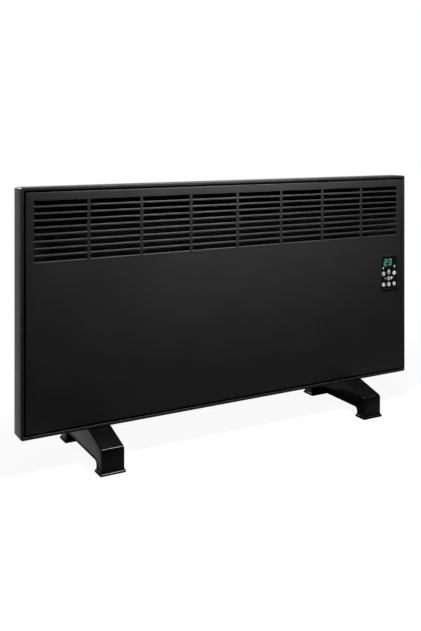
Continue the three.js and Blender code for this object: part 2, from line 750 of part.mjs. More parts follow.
// A shelf under the cut-out, folded up against the shield.
function cutoutBracket() {
  const back = SHIELD_Y - SHIELD_SHEET / 2 - GAP - SHEET / 2;
  const shelf = CUTOUT_Z - SHEET / 2;
  const fold = foldedStrip([[CUTOUT_Y - 11, shelf], [back, shelf], [back, CUTOUT_SHELF_TOP]], SHEET);
  const half = CUTOUT_SHELF_WIDTH / 2;
  return bar(fold, CUTOUT_X - half, CUTOUT_X + half);
}

function roomSensor() {
  const tall = SENSOR_HIGH - SENSOR_LOW;
  const r = SENSOR_R;
  const profile = [[0, 0], [r - 0.9, 0.4], [r, 1.8], [r, tall - 6], [1, tall - 5], [1, tall], [0, tall]];
  return turned(profile, AXIS_Z, [SENSOR_X, SENSOR_Y, SENSOR_LOW], 12);
}

// A ring round the sensor on an arm from the back wall.
function sensorClip() {
  const back = BACK_INSIDE - GAP;
  const middle = (CLIP_LOW + CLIP_HIGH) / 2;
  const tall = CLIP_HIGH - CLIP_LOW;
  return union([
    pin(CLIP_R, CLIP_LOW, CLIP_HIGH, AXIS_Z, [SENSOR_X, SENSOR_Y, 0], 16),
    block(SENSOR_X, middle, 4, tall, SENSOR_Y + SENSOR_R, back),
    block(SENSOR_X, middle, 14, 2 * tall, back - 1.5, back),
  ]).subtract(pin(SENSOR_R + GAP, CLIP_LOW - 1, CLIP_HIGH + 1, AXIS_Z, [SENSOR_X, SENSOR_Y, 0], 16));
}

// ---------------------------------------------------------------- leads inside the casing

// From the element's left end, down and along the back wall to the terminal block.
function leftElementLead() {
  const points = [
    [-371.5, 15.5, 150], [-379, 15.8, 149], [-390, 22, 130], [-391, 31, 100], [-384, 34.5, 72],
    [-360, 35, 58], [-180, 35, 55], [0, 35, 56], [180, 35, 55],
    [315, 34, 56], [332, 33, 66], [345, 33, 71],
  ];
  return tube(points, roundSection(LEAD_R, 5), 36);
}

// From the element's right end down to the power board's connector.
function rightElementLead() {
  const points = [
    [351, 15.5, 150], [357, 15.6, 149], [366, 18, 138], [375, 21, 122], [380, 23, 106.7],
  ];
  return tube(points, roundSection(LEAD_R, 5), 10);
}

// From the header on the control board down to the one on the power board.
function displayRibbon() {
  const y = BOARD_BACK + 2;
  const [u, v] = [RIBBON_WIDTH / 2, RIBBON_THICKNESS / 2];
  const section = new THREE.Shape([[-u, -v], [u, -v], [u, v], [-u, v]].map((p) => new THREE.Vector2(...p)));
  const route = [
    [y + 1, CONTROL_Z - 30.5], [y + 1.2, CONTROL_Z - 36], [y + 4, CONTROL_Z - 44],
    [20.5, CONTROL_Z - 50], [23.6, TRAY_Z + 39.6],
  ];
  return tube(route.map(([depth, z]) => [CONTROL_X, depth, z]), section, 14);
}

// ---------------------------------------------------------------- fixings

function bracketPlaces() {
  return [
    [-BRACKET_X, BRACKET_LOW_Z], [BRACKET_X, BRACKET_LOW_Z],
    [-BRACKET_X, BRACKET_HIGH_Z], [BRACKET_X, BRACKET_HIGH_Z],
  ];
}

// A folded channel between the front panel and the back wall.
function panelBracket([x, z]) {
  const front = SHEET + GAP + SHEET / 2;
  const back = BACK_INSIDE - GAP - SHEET / 2;
  const line = [[-13, front], [-8, front], [-8, back], [8, back], [8, front], [13, front]];
  const fold = foldedStrip(line.map(([u, v]) => [x + u, v]), SHEET);
  return column(fold, z - BRACKET_TALL / 2, z + BRACKET_TALL / 2)
    .subtract(pin(2, back - 3, back + 3, AXIS_Y, [x, 0, z]));
}

// Pan head and shank; the head's seat is at height 0 and the shank runs down from it.
function screw(r, length, axis, place) {
  const head = 2 * r + 0.8;
  const profile = [
    [0, -length], [r * 0.6, -length], [r, -length + r * 0.8], [r, 0],
    [head, 0], [head, 1.3], [head * 0.72, 2.1], [0, 2.3],
  ];
  return turned(profile, axis, place, 8);
}

function footScrewPlaces() {
  const half = FOOT_SCREW_SPACING / 2;
  return [
    [-FOOT_X - half, 'left_foot_screw_outer'], [-FOOT_X + half, 'left_foot_screw_inner'],
    [FOOT_X - half, 'right_foot_screw_inner'], [FOOT_X + half, 'right_foot_screw_outer'],
  ];
}

function cableGland() {
  const profile = [
    [3.6, -10], [GLAND_R, -10], [GLAND_R, GAP], [11.5, GAP], [11.5, 4],
    [9.5, 5], [8.6, 10], [6.6, 13], [4.4, 14], [3.6, 14], [3.6, -10],
  ];
  return turned(profile, AXIS_Y, [GLAND_X, CASE_DEPTH, GLAND_Z], 12);
}

function glandNut() {
  const back = BACK_INSIDE - GAP;
  return turned([[GLAND_R + GAP, -4], [11.5, -4], [11.5, 0], [GLAND_R + GAP, 0], [GLAND_R + GAP, -4]],
    AXIS_Y, [GLAND_X, back, GLAND_Z], 12);
}

// ---------------------------------------------------------------- feet

// The side of a foot in Y and Z, from the floor, with Y from the casing's front face.
function footOutline() {
  const top = STAND_HEIGHT - GAP;
  const frontSlope = Math.atan2(top - KNEE_Z, -POST_FRONT);
  const rearSlope = Math.atan2(top - KNEE_Z, LEG_BACK - CASE_DEPTH);
  const kneeBelow = (slope) => KNEE_Z - KNEE_R * Math.tan((Math.PI / 2 - slope) / 2);
  const shape = new THREE.Shape();
  shape.moveTo(POST_BACK, 0);
  shape.lineTo(POST_FRONT, 0);
  shape.absarc(POST_FRONT + KNEE_R, kneeBelow(frontSlope), KNEE_R, Math.PI, Math.PI / 2 + frontSlope, true);
  shape.lineTo(0, top);
  shape.lineTo(CASE_DEPTH, top);
  shape.absarc(LEG_BACK - KNEE_R, kneeBelow(rearSlope), KNEE_R, Math.PI / 2 - rearSlope, 0, true);
  shape.lineTo(LEG_BACK, 0);
  shape.lineTo(LEG_FRONT, 0);
  shape.lineTo(LEG_FRONT, ARCH_BACK_Z - ARCH_R * 0.5);
  shape.quadraticCurveTo(LEG_FRONT, ARCH_BACK_Z, LEG_FRONT - ARCH_R, ARCH_BACK_Z);
  shape.lineTo(POST_BACK + ARCH_R, ARCH_FRONT_Z);
  shape.quadraticCurveTo(POST_BACK, ARCH_FRONT_Z, POST_BACK, ARCH_FRONT_Z - ARCH_R * 0.7);
  shape.closePath();
  return shape;
}

// The skirt at the bottom of a post spreads into a pad.
function flare(y0, y1) {
  const halfX = FOOT_WIDTH / 2;
  const halfY = (y1 - y0) / 2;
  const sections = [
    [halfX + FLARE - 0.4, halfY + FLARE - 0.4, 0],
    [halfX + FLARE, halfY + FLARE, 0.6],
    [halfX + FLARE, halfY + FLARE, FLARE_BAND],
    [halfX + 0.8, halfY + 0.8, FLARE_BAND + 1.8],
    [halfX - 0.4, halfY - 0.4, FLARE_TOP],
  ];
  return stacked(sections, (u, v, h) => [u, (y0 + y1) / 2 + v, h]);
}

// Ribbed hollows under the moulding, open below.
function footHollows() {
  const half = FOOT_WIDTH / 2 - FOOT_WALL;
  const rib = 1.5;
  const hollows = [];
  [[-half, -rib], [rib, half]].forEach(([x0, x1]) => {
    hollows.push(box(x0, x1, POST_FRONT + FOOT_WALL + 1, POST_BACK - FOOT_WALL, -1, KNEE_Z - 12));
    hollows.push(box(x0, x1, LEG_FRONT + FOOT_WALL, LEG_BACK - FOOT_WALL - 1, -1, KNEE_Z - 14));
    hollows.push(box(x0, x1, -26, 0, 10, 50));
    hollows.push(box(x0, x1, 38, 72, 10, 50));
    hollows.push(box(x0, x1, 75, 108, 10, 44));
  });
  return hollows;
}

function foot() {
  const halfX = FOOT_WIDTH / 2;
  const body = bar(footOutline(), -halfX, halfX, FOOT_EDGE_R);
  const whole = union([body, flare(POST_FRONT, POST_BACK), flare(LEG_FRONT, LEG_BACK)]);
  const half = FOOT_SCREW_SPACING / 2;
  const bores = [-half, half].flatMap((x) => [
    pin(5.6, -1, SCREW_SEAT_Z, AXIS_Z, [x, FOOT_SCREW_Y, 0], 16),
    pin(SCREW_HOLE_R, SCREW_SEAT_Z - 1, STAND_HEIGHT + 1, AXIS_Z, [x, FOOT_SCREW_Y, 0], 12),
  ]);
  return cut(whole, [...footHollows(), ...bores]);
}

// ---------------------------------------------------------------- materials

function finish(color, roughness, metalness) {
  return new THREE.MeshStandardMaterial({ color, roughness, metalness });
}

const BLACK_PAINT = finish(0x1b1b1c, 0.45, 0.1);
const GALVANISED = finish(0x6f7275, 0.5, 0.8);
const ALUMINIUM = finish(0x9da0a3, 0.4, 0.9);
const FOOT_PLASTIC = finish(0x121212, 0.55, 0);
const TRIM_PLASTIC = finish(0x2a2a2b, 0.4, 0);
const GLOSS_BLACK = finish(0x060607, 0.08, 0);
const SMOKED_LENS = finish(0x0b1512, 0.05, 0);
const BUTTON_WHITE = finish(0xd2d2cf, 0.4, 0);
const DISPLAY_BODY = finish(0x10201b, 0.6, 0);
const CIRCUIT_BOARD = finish(0x1d4a2e, 0.6, 0);
const CERAMIC = finish(0xd9d4c8, 0.7, 0);
const COMPONENT_BLUE = finish(0x24364a, 0.5, 0);
const NATURAL_PLASTIC = finish(0xbab5a8, 0.5, 0);
const LEAD_SLEEVE = finish(0x7a2320, 0.6, 0);
const SCREW_STEEL = finish(0x2b2b2c, 0.35, 0.8);

// ---------------------------------------------------------------- assembly

function mesh(name, body, material) {
  const data = body.getMesh();
  const geometry = new THREE.BufferGeometry();
  geometry.setAttribute('position', new THREE.Float32BufferAttribute(data.vertProperties, 3));
  geometry.setIndex(Array.from(data.triVerts));
  geometry.computeVertexNormals();
  const piece = new THREE.Mesh(geometry, material);
  piece.name = name;
  return piece;
}

const heater = new THREE.Group();

// Everything in the casing is placed from the middle of its lower front edge.
const casing = new THREE.Group();
casing.position.set(0, CASE_FRONT_Y, STAND_HEIGHT);
heater.add(casing);

casing.add(
  mesh('rear_casing', rearCasing(), BLACK_PAINT),
  mesh('front_panel', frontPanel(), BLACK_PAINT),
  mesh('control_bezel', controlBezel(), TRIM_PLASTIC),
  mesh('control_fascia', controlFascia(), GLOSS_BLACK),
  mesh('display_window', displayWindow(), SMOKED_LENS),
  mesh('display_module', displayModule(), DISPLAY_BODY),
  mesh('control_board', controlBoard(), CIRCUIT_BOARD),
  mesh('control_housing', controlHousing(), TRIM_PLASTIC),
);
Object.entries(BUTTONS).forEach(([name, place]) => {
  casing.add(mesh(name, button(place), BUTTON_WHITE));
});
Object.entries(INDICATORS).forEach(([name, place]) => {
  casing.add(mesh(name, indicator(place), BUTTON_WHITE));
});
casing.add(
  mesh('board_tray', boardTray(), NATURAL_PLASTIC),
  mesh('power_board', powerBoard(), CIRCUIT_BOARD),
  ...Object.entries(COMPONENTS).map(([name, sizes]) => mesh(name, component(sizes), COMPONENT_BLUE)),
  mesh('terminal_block', terminalBlock(), NATURAL_PLASTIC),
  mesh('heating_element', heatingElement(), ALUMINIUM),
  mesh('element_bracket_left', elementBracket(-1), GALVANISED),
  mesh('element_bracket_right', elementBracket(1), GALVANISED),
  mesh('element_cap_left', elementCap(-1), CERAMIC),
  mesh('element_cap_right', elementCap(1), CERAMIC),
  mesh('heat_shield', heatShield(), BLACK_PAINT),
  mesh('thermal_cutout', thermalCutout(), CERAMIC),
  mesh('cutout_bracket', cutoutBracket(), GALVANISED),
  mesh('room_sensor', roomSensor(), NATURAL_PLASTIC),
  mesh('sensor_clip', sensorClip(), NATURAL_PLASTIC),
  mesh('element_lead_left', leftElementLead(), LEAD_SLEEVE),
  mesh('element_lead_right', rightElementLead(), LEAD_SLEEVE),
  mesh('display_ribbon', displayRibbon(), LEAD_SLEEVE),
  mesh('cable_gland', cableGland(), FOOT_PLASTIC),
  mesh('gland_nut', glandNut(), FOOT_PLASTIC),
);
['lower_left', 'lower_right', 'upper_left', 'upper_right'].forEach((corner, i) => {
  const [x, z] = bracketPlaces()[i];
  casing.add(mesh(`panel_bracket_${corner}`, panelBracket([x, z]), GALVANISED));
  casing.add(mesh(`panel_screw_${corner}`, screw(1.6, 8, AXIS_Y, [x, CASE_DEPTH + GAP, z]), SCREW_STEEL));
});
['left', 'right'].forEach((side, i) => {
  const place = [shieldScrewPlaces()[i], SHIELD_FOOT_Y - SHIELD_SHEET / 2 - GAP, SHIELD_SCREW_Z];
  casing.add(mesh(`shield_screw_${side}`, screw(1.4, 2.6, [0, -1, 0], place), SCREW_STEEL));
});

[['left_foot', -FOOT_X], ['right_foot', FOOT_X]].forEach(([name, x]) => {
  const piece = mesh(name, foot(), FOOT_PLASTIC);
  piece.position.set(x, CASE_FRONT_Y, 0);
  heater.add(piece);
});
footScrewPlaces().forEach(([x, name]) => {
  const place = [x, CASE_FRONT_Y + FOOT_SCREW_Y, SCREW_SEAT_Z - GAP];
  heater.add(mesh(name, screw(1.9, 18, [0, 0, -1], place), SCREW_STEEL));
});

export default heater;
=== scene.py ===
# Wall panel convector heater: looks, lights and camera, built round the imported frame.
# Metres, in the frame's own axes: +X to the right seen from the front, which faces -Y, and +Z up.

import math
import json

import bpy
import bmesh
from mathutils import Matrix, Vector

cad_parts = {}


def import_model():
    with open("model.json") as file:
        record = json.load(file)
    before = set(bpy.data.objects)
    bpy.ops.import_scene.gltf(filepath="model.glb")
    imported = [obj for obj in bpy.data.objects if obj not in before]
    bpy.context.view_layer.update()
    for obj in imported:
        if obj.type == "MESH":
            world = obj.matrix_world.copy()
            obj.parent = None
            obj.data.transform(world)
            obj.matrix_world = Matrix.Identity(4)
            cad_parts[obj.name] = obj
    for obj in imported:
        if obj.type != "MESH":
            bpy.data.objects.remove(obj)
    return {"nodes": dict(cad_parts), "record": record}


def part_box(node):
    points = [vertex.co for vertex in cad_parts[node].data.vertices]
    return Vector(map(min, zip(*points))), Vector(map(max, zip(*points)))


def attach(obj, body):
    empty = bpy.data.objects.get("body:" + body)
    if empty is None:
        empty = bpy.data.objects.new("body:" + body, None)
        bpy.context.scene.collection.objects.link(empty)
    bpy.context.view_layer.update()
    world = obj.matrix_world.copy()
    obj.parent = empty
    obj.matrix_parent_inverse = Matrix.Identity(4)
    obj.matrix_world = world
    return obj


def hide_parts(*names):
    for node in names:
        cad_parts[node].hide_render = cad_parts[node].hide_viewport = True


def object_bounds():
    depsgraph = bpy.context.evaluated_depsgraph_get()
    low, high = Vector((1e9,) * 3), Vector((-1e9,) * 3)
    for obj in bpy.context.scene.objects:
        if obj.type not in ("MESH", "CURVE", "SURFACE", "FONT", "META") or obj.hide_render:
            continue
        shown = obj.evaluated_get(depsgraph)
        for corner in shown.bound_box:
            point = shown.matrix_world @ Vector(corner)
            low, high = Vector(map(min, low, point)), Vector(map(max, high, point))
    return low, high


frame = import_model()
SOLID_LOW, SOLID_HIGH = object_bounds()

MM = 0.001
BODY = "heater_body"
PANEL_SCREWS = (
    "panel_screw_lower_left",
    "panel_screw_lower_right",
    "panel_screw_upper_left",
    "panel_screw_upper_right",
)
FOOT_SCREWS = (
    "left_foot_screw_outer",
    "left_foot_screw_inner",
    "right_foot_screw_inner",
    "right_foot_screw_outer",
)
SHIELD_SCREWS = ("shield_screw_left", "shield_screw_right")
BUTTONS = {
    "power_button": "power_key",
    "mode_button": "mode_key",
    "up_button": "up_key",
    "down_button": "down_key",
    "timer_button": "timer_key",
    "program_button": "program_key",
    "lock_button": "lock_key",
}
CAP_FINISHES = {
    "mode_button": "button_white",
    "up_button": "button_grey",
    "down_button": "button_grey",
}
INDICATORS = ("heating_indicator", "window_indicator")
FINISH = {}

# ---------------------------------------------------------------- node helpers


def put(tree, kind, sockets=None, **settings):
    """Adds a node, sets its options, and sets or links its inputs."""
    node = tree.nodes.new("ShaderNode" + kind)
    for key, value in settings.items():
        setattr(node, key, value)
    for key, value in (sockets or {}).items():
        socket = node.inputs[key]
        if isinstance(value, bpy.types.NodeSocket):
            tree.links.new(value, socket)
        else:
            socket.default_value = value
    return node


def mixed(tree, amount, first, second):
    """A colour between two others."""
    node = tree.nodes.new("ShaderNodeMix")
    node.data_type = "RGBA"
    for index, value in ((0, amount), (6, first), (7, second)):
        if isinstance(value, bpy.types.NodeSocket):
            tree.links.new(value, node.inputs[index])
        else:
            node.inputs[index].default_value = value
    return node.outputs[2]


def blend(tree, amount, first, second):
    """A value between two others."""
    return put(tree, "Mix", {"Factor": amount, 2: first, 3: second}, data_type="FLOAT").outputs[0]


def spread(tree, value, low, high, to_low=0.0, to_high=1.0, **settings):
    """A value stretched from one range to another."""
    return put(tree, "MapRange", {
        "Value": value, "From Min": low, "From Max": high, "To Min": to_low, "To Max": to_high,
    }, **settings).outputs["Result"]


def product(tree, first, second):
    return put(tree, "Math", {0: first, 1: second}, operation="MULTIPLY").outputs["Value"]


def noise(tree, place, scale, detail, roughness=0.5):
    return put(tree, "TexNoise", {
        "Vector": place, "Scale": scale, "Detail": detail, "Roughness": roughness,
    }).outputs["Fac"]


# ---------------------------------------------------------------- camera and studio

CAMERA_PLACE = (-0.8746, -1.4880, 0.6121)
CAMERA_YAW = 0.512
CAMERA_LENS = 47.18
CAMERA_SHIFT = (-0.0003, -0.2886)
SENSOR = 36

# name, place, target, width, height and power
LAMPS = (
    ("strip_over_front", (0.06, -0.25, 0.92), (0.04, -0.0445, 0.38), 0.55, 0.12, 34),
    ("softbox_left_high", (-1.7, -1.5, 2.0), (0, 0, 0.25), 1.2, 1.2, 8),
    ("softbox_right_high", (1.55, -0.66, 1.5), (0.3, -0.1, 0.05), 0.9, 0.5, 4),
    ("softbox_back", (-0.62, 1.6, 1.28), (-0.2, 0, 0.4), 0.6, 0.45, 24),
)

ROOM_LEVEL = 0.08
CEILING_LEVEL = 0.12
SWEEP_BAND = (-0.45, 0.25)
CEILING_BAND = (0.15, 0.6)
DIFFUSE_SHARE = 0.5
FLOOR_SIZE = 8
FLOOR_COLOUR = 0.04
FLOOR_GLOW_NEAR = 0.93
FLOOR_GLOW_FAR = 1.0
# the floor's level in reflections in front of the heater, and in the shade painted under the heater and
# round its feet
FLOOR_DARK = 0.02
GLOW_BAND = (0.4, 1.5)
# distance from the feet's rectangle over which that painted shade fades out
PAINTED_SHADE_BAND = (0.017, 0.025)
BEHIND_BAND = (-0.30, -0.12)
FOOTPRINT = (0.3225, 0.1105, 0.0)


def camera():
    data = bpy.data.cameras.new("view")
    data.lens = CAMERA_LENS
    data.sensor_width = SENSOR
    data.sensor_fit = "AUTO"
    data.shift_x, data.shift_y = CAMERA_SHIFT
    data.clip_end = 50
    view = bpy.data.objects.new("view", data)
    view.location = CAMERA_PLACE
    view.rotation_euler = (math.pi / 2, 0, -CAMERA_YAW)
    bpy.context.collection.objects.link(view)
    bpy.context.scene.camera = view


def lamp(name, place, target, width, height, power):
    data = bpy.data.lights.new(name, "AREA")
    data.shape = "RECTANGLE"
    data.size = width
    data.size_y = height
    data.energy = power
    light = bpy.data.objects.new(name, data)
    light.location = place
    aim = Vector(target) - Vector(place)
    light.rotation_euler = aim.to_track_quat("-Z", "Y").to_euler()
    light.visible_camera = False
    bpy.context.collection.objects.link(light)


def shows_background(tree):
    """Whether a ray comes straight from the camera, and whether it is mirrored or through glass."""
    path = put(tree, "LightPath").outputs
    either = put(tree, "Math", {
        0: path["Is Glossy Ray"], 1: path["Is Transmission Ray"],
    }, operation="ADD", use_clamp=True)
    return path["Is Camera Ray"], either.outputs["Value"]


def world():
    """White sweep behind the heater; the room in front of it and the ceiling are dimmer."""
    scene_world = bpy.data.worlds.new("studio")
    bpy.context.scene.world = scene_world
    scene_world.use_nodes = True
    tree = scene_world.node_tree
    tree.nodes.clear()
    place = put(tree, "TexCoord").outputs["Generated"]
    split = put(tree, "SeparateXYZ", {"Vector": place}).outputs
    soft = {"interpolation_type": "SMOOTHSTEP"}
    sweep = spread(tree, split["Y"], *SWEEP_BAND, ROOM_LEVEL, 1.0, **soft)
    height = spread(tree, split["Z"], *CEILING_BAND, 1.0, CEILING_LEVEL, **soft)
    level = product(tree, sweep, height)
    straight, mirrored = shows_background(tree)
    bright = blend(tree, mirrored, product(tree, level, DIFFUSE_SHARE), level)
    seen = put(tree, "Math", {0: straight, 1: bright}, operation="MAXIMUM").outputs["Value"]
    shade = put(tree, "Background", {"Color": (1, 1, 1, 1), "Strength": seen})
    put(tree, "OutputWorld", {"Surface": shade.outputs["Background"]})


def away_from_heater(tree, place):
    """Distance on the floor from the rectangle that the feet stand in."""
    side = put(tree, "VectorMath", {0: place}, operation="ABSOLUTE").outputs["Vector"]
    past = put(tree, "VectorMath", {0: side, 1: FOOTPRINT}, operation="SUBTRACT").outputs["Vector"]
    past = put(tree, "VectorMath", {0: past, 1: (0, 0, 0)}, operation="MAXIMUM").outputs["Vector"]
    return put(tree, "VectorMath", {0: past}, operation="LENGTH").outputs["Value"]


def floor_glow(tree):
    """White to the camera. In reflections it is dark in front of the heater, and it carries painted shade
    under the heater and round its feet.
    """
    place = put(tree, "TexCoord").outputs["Object"]
    distance = away_from_heater(tree, place)
    depth = put(tree, "SeparateXYZ", {"Vector": place}).outputs["Y"]
    plain = spread(tree, distance, *GLOW_BAND, FLOOR_GLOW_NEAR, FLOOR_GLOW_FAR)
    # painted shade: in reflections the floor goes dark under the heater and close round its feet, where its
    # shadow falls
    clear = spread(tree, distance, *PAINTED_SHADE_BAND)
    behind = spread(tree, depth, *BEHIND_BAND)
    dim = spread(tree, product(tree, clear, behind), 0, 1, FLOOR_DARK, FLOOR_GLOW_FAR)
    straight, mirrored = shows_background(tree)
    total = put(tree, "Math", {
        0: straight, 1: plain, 2: product(tree, mirrored, dim),
    }, operation="MULTIPLY_ADD")
    return total.outputs["Value"]


def floor():
    deselect_all()
    bpy.ops.mesh.primitive_plane_add(size=FLOOR_SIZE, location=(0, 0, SOLID_LOW.z))
    ground = bpy.context.object
    ground.name = "studio_floor"
    bpy.ops.object.transform_apply(location=True)
    material = bpy.data.materials.new("studio_floor")
    material.use_nodes = True
    tree = material.node_tree
    tree.nodes.clear()
    glow = put(tree, "Emission", {"Color": (1, 1, 1, 1), "Strength": floor_glow(tree)})
    matt = put(tree, "BsdfDiffuse", {"Color": (FLOOR_COLOUR, FLOOR_COLOUR, FLOOR_COLOUR, 1)})
    both = put(tree, "AddShader", {0: matt.outputs["BSDF"], 1: glow.outputs["Emission"]})
    put(tree, "OutputMaterial", {"Surface": both.outputs["Shader"]})
    ground.data.materials.append(material)


# ---------------------------------------------------------------- shared effects


def effect(name, inputs, outputs):
    """A node group with named inputs and outputs."""
    group = bpy.data.node_groups.new(name, "ShaderNodeTree")
    for label, value in inputs.items():
        socket = group.interface.new_socket(label, in_out="INPUT", socket_type="NodeSocketFloat")
        socket.default_value = value
    for label in outputs:
        group.interface.new_socket(label, in_out="OUTPUT", socket_type="NodeSocketFloat")
    inlet = group.nodes.new("NodeGroupInput")
    outlet = group.nodes.new("NodeGroupOutput")
    return group, inlet.outputs, outlet.inputs


def surface_place(tree, x=1.0, y=1.0, z=1.0):
    place = put(tree, "TexCoord").outputs["Object"]
    return put(tree, "Mapping", {"Vector": place, "Scale": (x, y, z)}).outputs["Vector"]


def grain_effect():
    """Fine pimples of sprayed powder or a moulding tool, and slow drifts of tone."""
    group, given, out = effect("sprayed_grain", {"Scale": 900.0}, ("Height", "Tone"))
    place = surface_place(group)
    fine = noise(group, place, given["Scale"], 2.0)
    drift = spread(group, noise(group, place, 11.0, 4.0, 0.6), 0.32, 0.68)
    speckle = spread(group, fine, 0.35, 0.65)
    group.links.new(fine, out["Height"])
    group.links.new(blend(group, 0.35, drift, speckle), out["Tone"])
    return group


def mill_effect():
    """Long fine lines left by rolling or drawing, along the heater's length."""
    group, given, out = effect("mill_lines", {"Scale": 60.0}, ("Height", "Tone"))
    lines = noise(group, surface_place(group, 0.06, 6.0, 6.0), given["Scale"], 5.0, 0.7)
    group.links.new(lines, out["Height"])
    group.links.new(spread(group, lines, 0.3, 0.7), out["Tone"])
    return group


def spangle_effect():
    """Flower-like crystals of hot-dip zinc."""
    group, given, out = effect("zinc_spangle", {"Scale": 110.0}, ("Height", "Tone"))
    place = surface_place(group)
    cells = put(group, "TexVoronoi", {"Vector": place, "Scale": given["Scale"]})
    split = put(group, "SeparateColor", {"Color": cells.outputs["Color"]}).outputs
    group.links.new(cells.outputs["Distance"], out["Height"])
    group.links.new(blend(group, 0.3, split["Red"], noise(group, place, 900.0, 3.0)), out["Tone"])
    return group


def track_effect():
    """Copper tracks and pads that show through the lacquer of a circuit board."""
    group, given, out = effect("board_tracks", {"Scale": 240.0}, ("Height", "Tone"))
    place = surface_place(group)
    cells = put(group, "TexVoronoi", {
        "Vector": place, "Scale": given["Scale"],
    }, distance="MANHATTAN")
    tracks = spread(group, cells.outputs["Distance"], 0.18, 0.24)
    group.links.new(tracks, out["Height"])
    group.links.new(blend(group, 0.25, tracks, noise(group, place, 700.0, 2.0)), out["Tone"])
    return group


def wear_effect():
    """How far a point lies on a sharp edge, where handling burnishes the finish."""
    group, given, out = effect("edge_wear", {"Radius": 0.0008, "Break": 90.0}, ("Mask",))
    rounded = put(group, "Bevel", {"Radius": given["Radius"]}, samples=6)
    shape = put(group, "NewGeometry")
    agree = put(group, "VectorMath", {
        0: rounded.outputs["Normal"], 1: shape.outputs["Normal"],
    }, operation="DOT_PRODUCT").outputs["Value"]
    edge = spread(group, agree, 0.995, 0.85)
    patches = noise(group, surface_place(group), given["Break"], 4.0, 0.65)
    group.links.new(product(group, edge, spread(group, patches, 0.35, 0.62)), out["Mask"])
    return group


def dust_effect():
    """Thin dust on whatever faces upwards, in drifts."""
    group, given, out = effect("settled_dust", {"Amount": 0.3}, ("Mask",))
    shape = put(group, "NewGeometry").outputs["Normal"]
    up = put(group, "SeparateXYZ", {"Vector": shape}).outputs["Z"]
    facing = spread(group, up, 0.5, 1.0)
    drifts = noise(group, surface_place(group), 38.0, 6.0, 0.7)
    covered = product(group, facing, spread(group, drifts, 0.4, 0.75))
    group.links.new(product(group, covered, given["Amount"]), out["Mask"])
    return group


def place_effect(tree, group, **values):
    node = tree.nodes.new("ShaderNodeGroup")
    node.node_tree = group
    for label, value in values.items():
        node.inputs[label].default_value = value
    return node.outputs


# ---------------------------------------------------------------- finishes

# dark and light end of the colour, roughness from and to, metallic, specular level,
# surface effect and its scale, depth of its relief in mm, worn edge's grey, dust
FINISHES = {
    "black_paint": (
        (0.0075, 0.0075, 0.0078), (0.010, 0.010, 0.0103), (0.38, 0.46), 0, 0.08,
        "grain", 1100, 0.02, 0.04, 0.05,
    ),
    "trim_plastic": (
        (0.005, 0.005, 0.005), (0.008, 0.008, 0.008), (0.32, 0.42), 0, 0.2, "grain", 1600, 0.012, 0.03, 0
    ),
    "gloss_black": (
        (0.0020, 0.0021, 0.0022), (0.0034, 0.0034, 0.0036), (0.05, 0.12), 0, 0.3, "grain", 500, 0.002, 0, 0
    ),
    "display_body": (
        (0.0028, 0.0052, 0.0046), (0.0045, 0.0080, 0.0070), (0.45, 0.60), 0, 0.3, "grain", 1500, 0.008, 0, 0
    ),
    "button_white": (
        (0.42, 0.42, 0.41), (0.50, 0.50, 0.49), (0.30, 0.40), 0, 0.4, "grain", 2200, 0.006, 0, 0
    ),
    "button_pale": (
        (0.31, 0.31, 0.305), (0.38, 0.38, 0.375), (0.30, 0.40), 0, 0.4, "grain", 2200, 0.006, 0, 0
    ),
    "button_grey": (
        (0.17, 0.17, 0.168), (0.22, 0.22, 0.218), (0.32, 0.42), 0, 0.4, "grain", 2200, 0.006, 0, 0
    ),
    "circuit_board": (
        (0.006, 0.050, 0.018), (0.014, 0.105, 0.036), (0.25, 0.40), 0, 0.5, "tracks", 240, 0.030, 0, 0.1
    ),
    "component_blue": (
        (0.015, 0.045, 0.12), (0.025, 0.065, 0.17), (0.30, 0.42), 0, 0.5, "grain", 900, 0.015, 0.3, 0
    ),
    "natural_plastic": (
        (0.46, 0.43, 0.36), (0.56, 0.53, 0.46), (0.42, 0.55), 0, 0.5, "grain", 1300, 0.015, 0, 0.1
    ),
    "aluminium": (
        (0.42, 0.42, 0.43), (0.62, 0.62, 0.63), (0.28, 0.42), 1, 0.5, "mill", 60, 0.020, 0.75, 0.1
    ),
    "galvanised": (
        (0.26, 0.27, 0.28), (0.46, 0.47, 0.48), (0.32, 0.50), 1, 0.5, "spangle", 110, 0.030, 0.6, 0.1
    ),
    "ceramic": (
        (0.62, 0.57, 0.49), (0.74, 0.70, 0.62), (0.55, 0.70), 0, 0.4, "grain", 700, 0.040, 0, 0.1
    ),
    "lead_sleeve": (
        (0.20, 0.020, 0.014), (0.28, 0.034, 0.024), (0.40, 0.52), 0, 0.5, "grain", 1200, 0.015, 0, 0
    ),
    "foot_plastic": (
        (0.0012, 0.0012, 0.0013), (0.0020, 0.0020, 0.0021), (0.13, 0.19), 0, 0.06,
        "grain", 420, 0.05, 0.015, 0,
    ),
    "screw_steel": (
        (0.045, 0.045, 0.047), (0.075, 0.075, 0.078), (0.25, 0.38), 1, 0.5, "mill", 90, 0.015, 0.35, 0
    ),
    # inner_black: a black coating made darker than the casing's paint, as painted shade inside the casing
    "inner_black": (
        (0.0018, 0.0018, 0.0019), (0.0030, 0.0030, 0.0032), (0.70, 0.85), 0, 0.05, "grain", 1100, 0.020, 0, 0
    ),
}
WEAR_SHARE = 0.7
DUST_COLOUR = (0.20, 0.19, 0.17, 1)
DUST_ROUGHNESS = 0.9
SMOKE = ((0.40, 0.46, 0.44, 1), (0.46, 0.52, 0.50, 1))
DIFFUSER = ((0.004, 0.012, 0.008, 1), (0.006, 0.016, 0.011, 1))
LIT_GREEN = ((0.27, 0.92, 0.58, 1), (0.38, 1.15, 0.74, 1))
HALO_GREEN = ((0.002, 0.034, 0.019, 1), (0.004, 0.052, 0.029, 1))
